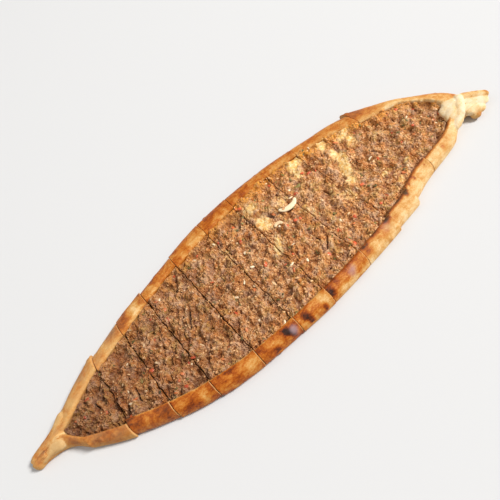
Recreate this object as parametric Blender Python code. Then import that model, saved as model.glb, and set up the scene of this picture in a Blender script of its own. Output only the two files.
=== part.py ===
"""Minced-meat pide: a long boat of flat bread with a rolled-in rim and a meat filling.

The bread lies flat on its base, its two ends pinched into tails: a slim twisted one on
the left and a stubby knotted one on the right.  Ten knife cuts across it make eleven
strips, which lie in place.  Each strip is two solids, the bread and the filling on it.

Frame: X runs along the pide, Y across it, Z up.  The origin is under the middle of the
whole pide, on the flat base.  All sizes are in metres.
"""

import math
from collections import namedtuple

import bmesh
import bpy
from mathutils import Vector

# ---------------------------------------------------------------- sizes of the whole pide

HALF_WIDTH = 0.0825         # half the greatest width, over the rims
LEAF_REACH_LEFT = 0.262     # where the leaf outline alone would run out, to the left
LEAF_REACH_RIGHT = 0.278    # and to the right, where the boat is blunter
LEAF_POWER = 0.81           # fullness of the leaf outline
SWAY_DEPTH = 0.0045         # the boat's left half bows this far forward
SWAY_CENTRE = -0.115
SWAY_SPAN = 0.070
TURN_DEPTH = 0.0100         # the right end turns this far forward
TURN_START = 0.150
TURN_SPAN = 0.075

BASE_THICKNESS = 0.0048     # bread under the filling
RIM_HEIGHT = 0.0145         # top of the rolled-in rim
LIP_DROP = 0.0009           # the rim's inner edge lies this far below its top
WALL_TOP_DROP = 0.00216     # the rim's inner wall starts this far below its top
FOOT_INSET = 0.0022         # the flat underside starts this far inside the rim's outer edge
FOOT_SHARE_LIMIT = 0.35     # though no further in than this share of a narrow rim
WALL_LEAN = 0.0012          # the rim's inner wall leans in by this much, top to bottom
LEAN_SHARE_LIMIT = 0.06     # though no more than this share of a narrow rim

# The rim's rolled outer side and top, as shares of its width and of its height.
RIM_CURVE = ((0.0, 0.26), (0.04, 0.46), (0.17, 0.70), (0.40, 0.89), (0.66, 0.98), (0.86, 1.0))
FOOT_CURVE = (0.30, 0.08)   # the roll under the rim, as shares of the foot's inset and the height
LIP_SHARE = 0.97            # the inner lip lies at this share of the rim's width

FILLING_EDGE = 0.0093       # height of the filling where it meets the rim
FILLING_CROWN = 0.0104      # height of the filling in the middle
FILLING_TAPER = 0.0020      # thickness of the filling's edge at its two ends
FILLING_GAP = 0.0003        # clearance between filling and bread
FILLING_SHARES = (1.0, 0.86, 0.55, 0.0, -0.55, -0.86, -1.0)  # its top's points, edge to edge
FILLING_FLATNESS = 4        # power of the curve across its top: higher is flatter
END_CROWN_SHARE = 0.5       # share of the crown's rise left where the filling thins out
KNIFE_GAP = 0.0009          # width of each knife cut
SEAM_HALF_GAP = 0.0004      # half the groove left where the two rims close into a tail
SEAM_DEPTH = 0.0010         # depth of that groove

# ---------------------------------------------------------------- the eleven strips

CUT_X = (-0.1905, -0.1530, -0.1165, -0.0720, -0.0280, 0.0110, 0.0585, 0.1010, 0.1335, 0.1710)
CUT_LEAN = (0.053, 0.020, 0.003, 0.0, 0.0, 0.015, 0.010, -0.030, -0.025, -0.018)

# Each pair holds a strip's value at its left and at its right cut: how far its rim stands
# out from the leaf outline, on the far and on the near side, and how wide its two rims are.
Strip = namedtuple("Strip", "far near far_rim near_rim")
STRIPS = (
    Strip((0.0005, 0.0035), (0.0015, 0.0020), (0.0200, 0.0215), (0.0105, 0.0125)),
    Strip((-0.0015, -0.0010), (-0.0005, 0.0000), (0.0195, 0.0205), (0.0140, 0.0145)),
    Strip((0.0000, 0.0000), (0.0005, 0.0005), (0.0215, 0.0210), (0.0150, 0.0150)),
    Strip((-0.0025, -0.0035), (0.0008, 0.0008), (0.0180, 0.0165), (0.0155, 0.0150)),
    Strip((-0.0010, 0.0000), (0.0005, 0.0005), (0.0225, 0.0225), (0.0140, 0.0140)),
    Strip((0.0000, 0.0000), (0.0010, 0.0020), (0.0230, 0.0215), (0.0145, 0.0150)),
    Strip((-0.0005, -0.0005), (0.0015, 0.0020), (0.0185, 0.0170), (0.0145, 0.0145)),
    Strip((0.0000, 0.0005), (0.0020, 0.0040), (0.0165, 0.0165), (0.0150, 0.0160)),
    Strip((0.0005, 0.0010), (0.0020, 0.0055), (0.0165, 0.0175), (0.0160, 0.0175)),
    Strip((0.0020, 0.0045), (0.0010, 0.0005), (0.0185, 0.0225), (0.0160, 0.0155)),
    Strip((0.0115, 0.0060), (0.0005, 0.0020), (0.0300, 0.0155), (0.0140, 0.0140)),
)
STATIONS_PER_STRIP = 6

# ---------------------------------------------------------------- the two tails

# A station is one cross-section: its place and turn in plan, its half-widths to the far
# and the near side, its two rim widths, its height, and how far the trough is open.
Station = namedtuple("Station", "x y turn far near far_rim near_rim height trough")

# The left tail, tip first: a flattened twist with a blunt end, then the two rims parting.
LEFT_TAIL = (
    Station(-0.2800, -0.0005, 0.0, 0.0050, 0.0052, 0.0045, 0.0045, 0.0078, 0.0),
    Station(-0.2765, -0.0005, 0.0, 0.0072, 0.0076, 0.0068, 0.0070, 0.0098, 0.0),
    Station(-0.2680, 0.0005, 0.0, 0.0082, 0.0074, 0.0078, 0.0070, 0.0112, 0.0),
    Station(-0.2570, 0.0010, 0.0, 0.0108, 0.0090, 0.0104, 0.0086, 0.0120, 0.0),
    Station(-0.2490, 0.0010, 0.0, 0.0146, 0.0110, 0.0140, 0.0104, 0.0126, 0.0),
    Station(-0.2420, 0.0005, 0.0, 0.0188, 0.0142, 0.0178, 0.0132, 0.0130, 0.0),
    Station(-0.2385, 0.0, 0.0, 0.0212, 0.0168, 0.0185, 0.0100, 0.0132, 1.0),
)
LEFT_BOAT_START = -0.2290   # from here on the leaf outline holds

# The right end: a lobe of dough reaches over the trough, the boat closes under a pinched
# knot, and a short flat tail turns forward.
RIGHT_BOAT_END = 0.2150     # up to here the leaf outline holds
RIGHT_TAIL = (
    Station(0.2245, -0.0120, -5.0, 0.0368, 0.0345, 0.0175, 0.0140, 0.0146, 1.0),
    Station(0.2280, -0.0132, -7.0, 0.0340, 0.0328, 0.0180, 0.0150, 0.0150, 1.0),
    Station(0.2300, -0.0140, -9.0, 0.0325, 0.0315, 0.0180, 0.0310, 0.0158, 1.0),
    Station(0.2330, -0.0155, -13.0, 0.0310, 0.0278, 0.0190, 0.0350, 0.0170, 1.0),
    Station(0.2362, -0.0172, -18.0, 0.0292, 0.0250, 0.0286, 0.0244, 0.0178, 0.0),
    Station(0.2412, -0.0202, -28.0, 0.0258, 0.0212, 0.0252, 0.0206, 0.0182, 0.0),
    Station(0.2470, -0.0242, -35.0, 0.0215, 0.0172, 0.0209, 0.0166, 0.0174, 0.0),
    Station(0.2530, -0.0288, -38.0, 0.0166, 0.0136, 0.0160, 0.0130, 0.0155, 0.0),
    Station(0.2590, -0.0330, -39.0, 0.0150, 0.0120, 0.0144, 0.0114, 0.0130, 0.0),
    Station(0.2665, -0.0378, -39.0, 0.0146, 0.0100, 0.0140, 0.0094, 0.0116, 0.0),
    Station(0.2725, -0.0415, -39.0, 0.0128, 0.0058, 0.0122, 0.0052, 0.0104, 0.0),
    Station(0.2765, -0.0440, -39.0, 0.0092, 0.0030, 0.0086, 0.0024, 0.0088, 0.0),
)
FILLING_LEFT_END = -0.2355   # the filling's nose, where the rims part
FILLING_LEFT_FULL = 0.8      # how full it is one station in from there
FILLING_RIGHT_END = 0.2275   # the filling stops short of the knot
FILLING_RIGHT_FULL = 0.5     # how full it is there
SHORTEST_STEP = 0.001        # the filling's end stays this far from the next station

# ---------------------------------------------------------------- finish

SHARP_ANGLE = 40.0          # degrees; edges sharper than this are shaded as edges
ROUGHNESS = 0.75            # baked dough and cooked mince are both dull
CRUST_COLOURS = (
    (0.60, 0.43, 0.25),
    (0.62, 0.36, 0.15),
    (0.64, 0.34, 0.11),
    (0.70, 0.45, 0.20),
)
FILLING_COLOUR = (0.33, 0.18, 0.09)


def smooth_step(value):
    """Ease from 0 to 1 as value goes from 0 to 1."""
    value = min(max(value, 0.0), 1.0)
    return value * value * (3.0 - 2.0 * value)


def mix(start, end, share):
    return start + (end - start) * share


# ---------------------------------------------------------------- plan of the boat

def leaf_half_width(x):
    """Half the boat's width at x, from the leaf outline."""
    reach = LEAF_REACH_LEFT if x < 0.0 else LEAF_REACH_RIGHT
    return HALF_WIDTH * (1.0 - (x / reach) ** 2) ** LEAF_POWER


def middle_line(x):
    """The boat's middle line: it bows forward on the left, and turns forward at the knot."""
    sway = -SWAY_DEPTH * math.exp(-((x - SWAY_CENTRE) / SWAY_SPAN) ** 2)
    turn = -TURN_DEPTH * smooth_step((x - TURN_START) / TURN_SPAN)
    return sway + turn


def boat_station(index, share):
    """The cross-section of the open boat in one strip, share of the way across it."""
    strip = STRIPS[index]
    left, left_turn = LEFT_BOAT_START, 0.0
    right, right_turn = RIGHT_BOAT_END, 0.0
    if index > 0:
        left = CUT_X[index - 1] + KNIFE_GAP / 2.0
        left_turn = -math.degrees(CUT_LEAN[index - 1])
    if index < len(STRIPS) - 1:
        right = CUT_X[index] - KNIFE_GAP / 2.0
        right_turn = -math.degrees(CUT_LEAN[index])
    x = mix(left, right, share)
    half = leaf_half_width(x)
    return Station(
        x,
        middle_line(x),
        mix(left_turn, right_turn, share),
        half + mix(*strip.far, share),
        half + mix(*strip.near, share),
        mix(*strip.far_rim, share),
        mix(*strip.near_rim, share),
        RIM_HEIGHT,
        1.0,
    )


def mix_stations(first, second, share):
    return Station(*(mix(a, b, share) for a, b in zip(first, second)))


def strip_stations(index):
    """The cross-sections of one strip, left to right, with its tail if it has one."""
    stations = [
        boat_station(index, step / (STATIONS_PER_STRIP - 1)) for step in range(STATIONS_PER_STRIP)
    ]
    if index == 0:
        stations = list(LEFT_TAIL) + stations
    if index == len(STRIPS) - 1:
        stations = stations + list(RIGHT_TAIL)
    return stations


# ---------------------------------------------------------------- cross-sections

def rim_profile(width, height, floor):
    """One rim from its foot to the foot of its inner wall: (distance inwards, height)."""
    foot = min(FOOT_INSET, width * FOOT_SHARE_LIMIT)
    wall_top = max(height - WALL_TOP_DROP, floor)
    lean = min(WALL_LEAN, width * LEAN_SHARE_LIMIT) if floor < wall_top else 0.0
    underside = [(foot, 0.0), (foot * FOOT_CURVE[0], height * FOOT_CURVE[1])]
    roll = [(width * inwards, height * up) for inwards, up in RIM_CURVE]
    inner_wall = [(width * LIP_SHARE, height - LIP_DROP), (width, wall_top), (width + lean, floor)]
    return underside + roll + inner_wall


def bread_section(station):
    """The bread's outline at a station, as (distance towards the far side, height)."""
    closed_floor = station.height - SEAM_DEPTH - LIP_DROP
    floor = mix(closed_floor, BASE_THICKNESS, station.trough)
    far_width = min(station.far_rim, station.far - SEAM_HALF_GAP)
    near_width = min(station.near_rim, station.near - SEAM_HALF_GAP)
    far_rim = rim_profile(far_width, station.height, floor)
    near_rim = rim_profile(near_width, station.height, floor)
    far_side = [(station.far - inwards, z) for inwards, z in far_rim]
    near_side = [(inwards - station.near, z) for inwards, z in near_rim]
    floor_middle = (far_side[-1][0] + near_side[-1][0]) / 2.0
    foot_middle = (far_side[0][0] + near_side[0][0]) / 2.0
    return far_side + [(floor_middle, floor)] + near_side[::-1] + [(foot_middle, 0.0)]


def filling_section(station, fullness):
    """The filling's outline at a station; fullness thins it at the two ends."""
    bottom = BASE_THICKNESS + FILLING_GAP
    edge = mix(bottom + FILLING_TAPER, FILLING_EDGE, fullness)
    crown = edge + (FILLING_CROWN - FILLING_EDGE) * mix(END_CROWN_SHARE, 1.0, fullness)
    side = WALL_LEAN + FILLING_GAP * 2.0
    far = station.far - station.far_rim - side
    near = -(station.near - station.near_rim - side)
    middle = (far + near) / 2.0
    half = (far - near) / 2.0
    top = []
    for share in FILLING_SHARES:
        rise = 1.0 - share ** FILLING_FLATNESS
        top.append((middle + half * share, mix(edge, crown, rise)))
    return [(middle, bottom), (far, bottom)] + top + [(near, bottom)]


def place(station, section):
    """Stand a cross-section up at its station, as points in space."""
    angle = math.radians(station.turn)
    points = []
    for across, height in section:
        x = station.x - math.sin(angle) * across
        y = station.y + math.cos(angle) * across
        points.append((x, y, height))
    return points


# ---------------------------------------------------------------- solids

def loft(name, rings, collection, colour):
    """Skin a row of like rings, close both ends and colour the solid."""
    mesh = bpy.data.meshes.new(name)
    shape = bmesh.new()
    rows = [[shape.verts.new(point) for point in ring] for ring in rings]
    for row, following in zip(rows, rows[1:]):
        count = len(row)
        for i in range(count):
            j = (i + 1) % count
            shape.faces.new((row[i], row[j], following[j], following[i]))
    shape.faces.new(rows[0][::-1])
    shape.faces.new(rows[-1])
    bmesh.ops.recalc_face_normals(shape, faces=shape.faces)
    bmesh.ops.triangulate(shape, faces=shape.faces)
    shape.to_mesh(mesh)
    shape.free()
    mesh.shade_smooth()
    mesh.set_sharp_from_angle(angle=math.radians(SHARP_ANGLE))

    solid = bpy.data.objects.new(name, mesh)
    collection.objects.link(solid)
    solid.data.materials.append(plain_material(name, colour))
    return solid


def plain_material(name, colour):
    material = bpy.data.materials.new(name)
    material.use_nodes = True
    surface = material.node_tree.nodes["Principled BSDF"]
    surface.inputs["Base Color"].default_value = (*colour, 1.0)
    surface.inputs["Roughness"].default_value = ROUGHNESS
    surface.inputs["Metallic"].default_value = 0.0
    return material


def make_bread(index, collection):
    """The bread of one strip."""
    rings = [place(station, bread_section(station)) for station in strip_stations(index)]
    colour = CRUST_COLOURS[min(index, len(CRUST_COLOURS) - 1)]
    return loft(f"crust_{index + 1:02d}", rings, collection, colour)


def station_at(stations, x):
    """The cross-section at x, between the two stations on either side of it."""
    for first, second in zip(stations, stations[1:]):
        if first.x <= x <= second.x:
            return mix_stations(first, second, (x - first.x) / (second.x - first.x))
    raise ValueError(f"no station at {x}")


def make_filling(index, collection):
    """The filling of one strip, in the trough between its rims, thinned at the boat's ends."""
    stations = strip_stations(index)
    fullness = [1.0] * len(stations)
    if index == 0:
        inner = [s for s in stations if s.x > FILLING_LEFT_END + SHORTEST_STEP]
        stations = [station_at(stations, FILLING_LEFT_END)] + inner
        fullness = [0.0, FILLING_LEFT_FULL] + [1.0] * (len(stations) - 2)
    if index == len(STRIPS) - 1:
        inner = [s for s in stations if s.x < FILLING_RIGHT_END - SHORTEST_STEP]
        stations = inner + [station_at(stations, FILLING_RIGHT_END)]
        fullness = [1.0] * (len(stations) - 1) + [FILLING_RIGHT_FULL]
    rings = [place(s, filling_section(s, full)) for s, full in zip(stations, fullness)]
    return loft(f"mince_{index + 1:02d}", rings, collection, FILLING_COLOUR)


def centre_on_origin(solids):
    """Move every solid so that the middle of the whole pide stands over the origin."""
    corners = [solid.matrix_world @ vertex.co for solid in solids for vertex in solid.data.vertices]
    middle_x = (min(c.x for c in corners) + max(c.x for c in corners)) / 2.0
    middle_y = (min(c.y for c in corners) + max(c.y for c in corners)) / 2.0
    for solid in solids:
        solid.location = Vector((-middle_x, -middle_y, 0.0))


# ---------------------------------------------------------------- the model

for old in list(bpy.data.objects):
    bpy.data.objects.remove(old, do_unlink=True)

pide = bpy.data.collections.new("pide")
bpy.context.scene.collection.children.link(pide)

pieces = []
for strip_index in range(len(STRIPS)):
    pieces.append(make_bread(strip_index, pide))
    pieces.append(make_filling(strip_index, pide))
centre_on_origin(pieces)
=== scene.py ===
"""Minced-meat pide: the looks of its bread, its filling and what is scattered through it.

A long boat of flat bread, cut into eleven strips that still lie in place.  Each strip is a
piece of baked bread with a piece of cooked mince in its trough.  Everything is in metres,
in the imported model's frame: X runs along the pide, Y across it, Z up.
"""

import math
from collections import namedtuple

import bmesh
import bpy
import numpy as np
from mathutils import Matrix, Vector, kdtree


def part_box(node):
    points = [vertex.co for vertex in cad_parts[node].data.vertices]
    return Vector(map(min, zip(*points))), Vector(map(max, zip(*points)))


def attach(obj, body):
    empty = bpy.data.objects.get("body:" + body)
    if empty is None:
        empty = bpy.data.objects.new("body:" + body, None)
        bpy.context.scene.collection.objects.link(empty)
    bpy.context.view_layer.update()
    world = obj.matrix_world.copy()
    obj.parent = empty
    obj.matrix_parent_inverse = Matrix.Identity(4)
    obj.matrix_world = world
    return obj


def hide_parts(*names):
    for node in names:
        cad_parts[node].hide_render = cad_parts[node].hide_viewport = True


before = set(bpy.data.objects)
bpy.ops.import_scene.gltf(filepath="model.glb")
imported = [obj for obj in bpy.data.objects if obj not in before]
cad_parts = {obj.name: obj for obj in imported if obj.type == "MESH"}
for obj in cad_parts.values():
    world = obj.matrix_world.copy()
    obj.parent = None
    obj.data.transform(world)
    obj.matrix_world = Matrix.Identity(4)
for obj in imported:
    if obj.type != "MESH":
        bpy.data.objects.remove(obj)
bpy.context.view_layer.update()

# ------------------------------------------------------------------ camera
# One camera looks down on the pide from its near left side, rolled so that the pide lies
# from the lower left to the upper right of the frame.

VIEW_TILT = math.radians(32.0)         # off the vertical
VIEW_AZIMUTH = math.radians(-16.94)    # round the pide, towards its left end
VIEW_ROLL = math.radians(27.6)
VIEW_DISTANCE = 0.453
VIEW_WIDTH = 0.5                       # how much the frame spans at the aim point
AIM_POINT = Vector((-0.00815, 0.01868, 0.0))
SENSOR_WIDTH = 36.0
LENS = SENSOR_WIDTH * VIEW_DISTANCE / VIEW_WIDTH
CLIP_NEAR, CLIP_FAR = 0.01, 10.0

towards_camera = Vector((
    math.sin(VIEW_TILT) * math.sin(VIEW_AZIMUTH),
    -math.sin(VIEW_TILT) * math.cos(VIEW_AZIMUTH),
    math.cos(VIEW_TILT),
))
level_right = (-towards_camera).cross(Vector((0.0, 0.0, 1.0))).normalized()
level_up = level_right.cross(-towards_camera)
view_right = level_right * math.cos(VIEW_ROLL) - level_up * math.sin(VIEW_ROLL)
view_up = level_right * math.sin(VIEW_ROLL) + level_up * math.cos(VIEW_ROLL)

camera = bpy.data.objects.new("camera", bpy.data.cameras.new("camera"))
camera.data.sensor_fit = "HORIZONTAL"
camera.data.sensor_width = SENSOR_WIDTH
camera.data.lens = LENS
camera.data.clip_start = CLIP_NEAR
camera.data.clip_end = CLIP_FAR
camera.matrix_world = Matrix.Translation(AIM_POINT + towards_camera * VIEW_DISTANCE) @ Matrix(
    (view_right, view_up, towards_camera)
).transposed().to_4x4()
bpy.context.scene.collection.objects.link(camera)
bpy.context.scene.camera = camera

# ------------------------------------------------------------------ floor and light
# A plain pale floor with a large soft light over the far right of the pide, a weaker one on
# the other side, and a pale sky.  Colours are shown as they are, with no film curve.

FLOOR_SIZE = 6.0
FLOOR_COLOUR = (0.66, 0.66, 0.66, 1.0)
WHITE = (1.0, 1.0, 1.0, 1.0)
SKY_STRENGTH = 0.36

# Each soft light shines on the middle of the floor: name, place, size, power and colour.
LIGHTS = (
    ("key light", (5.40, -1.70, 5.80), 2.40, 815.0, (1.0, 0.985, 0.965)),
    ("fill light", (-1.40, 0.80, 2.00), 2.00, 10.0, (1.0, 1.0, 1.0)),
)


def add_node(tree, kind, values=None, **settings):
    """Add a node, with its settings and its inputs; an input may be another node's output."""
    made = tree.nodes.new(kind)
    for key, value in settings.items():
        setattr(made, key, value)
    for key, value in (values or {}).items():
        if isinstance(value, bpy.types.NodeSocket):
            tree.links.new(value, made.inputs[key])
        else:
            made.inputs[key].default_value = value
    return made


def new_material(name):
    """An empty material: (material, node tree, Principled shader)."""
    material = bpy.data.materials.new(name)
    material.use_nodes = True
    return material, material.node_tree, material.node_tree.nodes["Principled BSDF"]


def add_floor():
    """A flat pale floor, which isn't part of the pide."""
    mesh = bpy.data.meshes.new("floor")
    shape = bmesh.new()
    bmesh.ops.create_grid(shape, x_segments=1, y_segments=1, size=FLOOR_SIZE / 2.0)
    shape.to_mesh(mesh)
    shape.free()
    floor = bpy.data.objects.new("floor", mesh)
    bpy.context.scene.collection.objects.link(floor)
    material, tree, surface = new_material("floor paint")
    surface.inputs["Base Color"].default_value = FLOOR_COLOUR
    surface.inputs["Roughness"].default_value = 0.9
    surface.inputs["Specular IOR Level"].default_value = 0.1
    mesh.materials.append(material)


def add_soft_light(name, place, size, power, colour):
    """A round area light that faces the middle of the floor."""
    lamp = bpy.data.lights.new(name, "AREA")
    lamp.shape = "DISK"
    lamp.size = size
    lamp.energy = power
    lamp.color = colour
    light = bpy.data.objects.new(name, lamp)
    light.location = place
    light.rotation_mode = "QUATERNION"
    light.rotation_quaternion = (-Vector(place)).to_track_quat("-Z", "Y")
    bpy.context.scene.collection.objects.link(light)


add_floor()
for row in LIGHTS:
    add_soft_light(*row)

world = bpy.data.worlds.new("pale sky")
world.use_nodes = True
sky = world.node_tree.nodes["Background"]
sky.inputs["Color"].default_value = WHITE
sky.inputs["Strength"].default_value = SKY_STRENGTH
bpy.context.scene.world = world
bpy.context.scene.view_settings.view_transform = "Standard"

# ------------------------------------------------------------------ bread, eleven strips
# A long boat of plain wheat dough, its rims rolled in by hand and its ends drawn out into
# tails, baked on a stone and cut with a knife.  Each strip is one closed block: a flat base
# under the filling, a rim along each side and two cut faces.

# The boat's outline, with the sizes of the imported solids: a leaf between two tails.
HALF_WIDTH = 0.0825         # of the leaf, where it is widest
LEAF_REACH_LEFT = 0.262     # where the leaf would close if it had no tails
LEAF_REACH_RIGHT = 0.278
LEAF_POWER = 0.81           # how full its sides are: 1 is a parabola
SWAY_DEPTH = 0.0045         # its middle line bows to the near side here
SWAY_CENTRE = -0.115
SWAY_SPAN = 0.070
TURN_DEPTH = 0.0100         # and turns to the near side at its right end
TURN_START = 0.150
TURN_SPAN = 0.075
RIM_HEIGHT = 0.0145
BASE_THICKNESS = 0.0048
WALL_LEAN = 0.0012          # the rim's inner side leans in this far
KNIFE_GAP = 0.0009
SEAM_HALF_GAP = 0.0004      # of the seam where the two rims meet in a tail
SEAM_DEPTH = 0.0010
LIP_DROP = 0.0009           # how far the lip hangs below the rim's crest
BOAT_SECTIONS = 30          # cross-sections from which one strip's outline is drawn
END_CROWDING = 0.08         # how much closer they stand at its ends
TAIL_EASE = 0.0030          # the tails' outlines are eased over this length

# Where each knife cut crosses the middle line, and how far it leans off square.
CUT_X = (-0.1905, -0.1530, -0.1165, -0.0720, -0.0280, 0.0110, 0.0585, 0.1010, 0.1335, 0.1710)
CUT_LEAN = (0.053, 0.020, 0.003, 0.0, 0.0, 0.015, 0.010, -0.030, -0.025, -0.018)

# How far each strip's rim stands out from the leaf, far and near, and how wide its two rims
# are, each at the strip's left and at its right cut.
Strip = namedtuple("Strip", "far near far_rim near_rim")
STRIPS = [Strip(*row) for row in (
    ((0.0005, 0.0035), (0.0015, 0.0020), (0.0200, 0.0215), (0.0105, 0.0125)),
    ((-0.0015, -0.0010), (-0.0005, 0.0000), (0.0195, 0.0205), (0.0140, 0.0145)),
    ((0.0000, 0.0000), (0.0005, 0.0005), (0.0215, 0.0210), (0.0150, 0.0150)),
    ((-0.0025, -0.0035), (0.0008, 0.0008), (0.0180, 0.0165), (0.0155, 0.0150)),
    ((-0.0010, 0.0000), (0.0005, 0.0005), (0.0225, 0.0225), (0.0140, 0.0140)),
    ((0.0000, 0.0000), (0.0010, 0.0020), (0.0230, 0.0215), (0.0145, 0.0150)),
    ((-0.0005, -0.0005), (0.0015, 0.0020), (0.0185, 0.0170), (0.0145, 0.0145)),
    ((0.0000, 0.0005), (0.0020, 0.0040), (0.0165, 0.0165), (0.0150, 0.0160)),
    ((0.0005, 0.0010), (0.0020, 0.0055), (0.0165, 0.0175), (0.0160, 0.0175)),
    ((0.0020, 0.0045), (0.0010, 0.0005), (0.0185, 0.0225), (0.0160, 0.0155)),
    ((0.0115, 0.0060), (0.0005, 0.0020), (0.0300, 0.0155), (0.0140, 0.0140)),
)]

# A cross-section: its place and turn in plan, its half-widths to the far and the near side,
# its two rim widths, its height, and how far the trough is open.
Station = namedtuple("Station", "x y turn far near far_rim near_rim height trough")
LEFT_TAIL = [Station(*row) for row in (
    (-0.2800, -0.0005, 0.0, 0.0050, 0.0052, 0.0045, 0.0045, 0.0078, 0.0),
    (-0.2765, -0.0005, 0.0, 0.0072, 0.0076, 0.0068, 0.0070, 0.0098, 0.0),
    (-0.2680, 0.0005, 0.0, 0.0082, 0.0074, 0.0078, 0.0070, 0.0112, 0.0),
    (-0.2570, 0.0010, 0.0, 0.0108, 0.0090, 0.0104, 0.0086, 0.0120, 0.0),
    (-0.2490, 0.0010, 0.0, 0.0146, 0.0110, 0.0140, 0.0104, 0.0126, 0.0),
    (-0.2420, 0.0005, 0.0, 0.0188, 0.0142, 0.0178, 0.0132, 0.0130, 0.0),
    (-0.2385, 0.0, 0.0, 0.0212, 0.0168, 0.0185, 0.0100, 0.0132, 1.0),
)]
LEFT_BOAT_START = -0.2290
RIGHT_BOAT_END = 0.2150
RIGHT_TAIL = [Station(*row) for row in (
    (0.2245, -0.0120, -5.0, 0.0368, 0.0345, 0.0175, 0.0140, 0.0146, 1.0),
    (0.2280, -0.0132, -7.0, 0.0340, 0.0328, 0.0180, 0.0150, 0.0150, 1.0),
    (0.2300, -0.0140, -9.0, 0.0325, 0.0315, 0.0180, 0.0150, 0.0150, 1.0),
    (0.2330, -0.0155, -13.0, 0.0310, 0.0278, 0.0190, 0.0150, 0.0150, 1.0),
    (0.2362, -0.0172, -18.0, 0.0292, 0.0250, 0.0286, 0.0244, 0.0150, 0.0),
    (0.2412, -0.0202, -28.0, 0.0258, 0.0212, 0.0252, 0.0206, 0.0148, 0.0),
    (0.2470, -0.0242, -35.0, 0.0215, 0.0172, 0.0209, 0.0166, 0.0135, 0.0),
    (0.2530, -0.0288, -38.0, 0.0156, 0.0126, 0.0150, 0.0120, 0.0110, 0.0),
    (0.2590, -0.0330, -39.0, 0.0120, 0.0090, 0.0114, 0.0084, 0.0085, 0.0),
    (0.2665, -0.0378, -39.0, 0.0100, 0.0060, 0.0094, 0.0054, 0.0070, 0.0),
)]


def smooth_step(value):
    """A value held between 0 and 1, and eased at both."""
    value = np.clip(value, 0.0, 1.0)
    return value * value * (3.0 - 2.0 * value)


def boat_plan(index, shares):
    """One strip's cross-sections between its two cuts, at these shares of the way across it."""
    strip = STRIPS[index]
    last = len(STRIPS) - 1
    left = LEFT_BOAT_START if index == 0 else CUT_X[index - 1] + KNIFE_GAP / 2.0
    right = RIGHT_BOAT_END if index == last else CUT_X[index] - KNIFE_GAP / 2.0
    left_turn = 0.0 if index == 0 else -math.degrees(CUT_LEAN[index - 1])
    right_turn = 0.0 if index == last else -math.degrees(CUT_LEAN[index])
    x = left + (right - left) * shares
    reach = np.where(x < 0.0, LEAF_REACH_LEFT, LEAF_REACH_RIGHT)
    half = HALF_WIDTH * (1.0 - (x / reach) ** 2) ** LEAF_POWER
    sway = -SWAY_DEPTH * np.exp(-((x - SWAY_CENTRE) / SWAY_SPAN) ** 2)
    turn = -TURN_DEPTH * smooth_step((x - TURN_START) / TURN_SPAN)

    def between(pair):
        return pair[0] + (pair[1] - pair[0]) * shares

    return Station(
        x, sway + turn, between((left_turn, right_turn)), half + between(strip.far),
        half + between(strip.near), between(strip.far_rim), between(strip.near_rim),
        np.full_like(x, RIM_HEIGHT), np.ones_like(x),
    )


# The plan is drawn from the pide's own middle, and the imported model's origin is under the
# middle of its box: the left tail's tip and the widest strip show how far apart they are.
WIDEST_STRIP = 5
widest = boat_plan(WIDEST_STRIP, np.linspace(0.0, 1.0, 6))
far_side_y = max(widest.y + np.cos(np.radians(widest.turn)) * widest.far)
PLAN_SHIFT = np.array((
    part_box("crust_01")[0].x - LEFT_TAIL[0].x,
    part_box(f"crust_{WIDEST_STRIP + 1:02d}")[1].y - far_side_y,
    0.0,
))


def eased(values, reach):
    """Running mean of a row of numbers over so many neighbours each side, its ends kept."""
    padded = np.concatenate([np.full(reach, values[0]), values, np.full(reach, values[-1])])
    mean = np.convolve(padded, np.ones(2 * reach + 1) / (2 * reach + 1), "valid")
    mean[0], mean[-1] = values[0], values[-1]
    return mean


def strip_plan(index, step):
    """Fine cross-sections of one strip, left to right, a step apart and closer at its ends."""
    rows = np.array(boat_plan(index, np.linspace(0.0, 1.0, BOAT_SECTIONS)))
    if index == 0:
        rows = np.hstack([np.array(LEFT_TAIL).T, rows])
    if index == len(STRIPS) - 1:
        rows = np.hstack([rows, np.array(RIGHT_TAIL).T])
    length = rows[0][-1] - rows[0][0]
    shares = np.linspace(0.0, 1.0, 2 + int(length / step))
    x = rows[0][0] + length * (shares - np.sin(shares * 2.0 * np.pi) * END_CROWDING)
    in_tail = (x < LEFT_BOAT_START) | (x > RIGHT_BOAT_END)
    fine = [np.interp(x, rows[0], row) for row in rows]
    fine = [np.where(in_tail, eased(row, int(TAIL_EASE / step)), row) for row in fine]
    fine[0] = x
    return Station(*fine)


def cuts_beside(index, plan):
    """The knife cuts at a strip's ends: each one's number, on which side of it the strip lies
    (1 right, -1 left), and how far each cross-section is from it."""
    ends = ((index - 1, 1.0, plan.x - plan.x[0]), (index, -1.0, plan.x[-1] - plan.x))
    return [end for end in ends if 0 <= end[0] < len(CUT_X)]


def placed(plan, across, height):
    """Points in space of a sheet given by its distance across each section and its height."""
    angle = np.radians(plan.turn)
    x = plan.x[:, None] - np.sin(angle)[:, None] * across
    y = plan.y[:, None] + np.cos(angle)[:, None] * across
    return np.stack([x, y, height], axis=-1) + PLAN_SHIFT


def pushed_along(plan, push):
    """A push of each point along the pide, square to its cross-section."""
    angle = np.radians(plan.turn)[:, None]
    return np.stack([push * np.cos(angle), push * np.sin(angle), 0.0 * push], -1)


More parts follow.
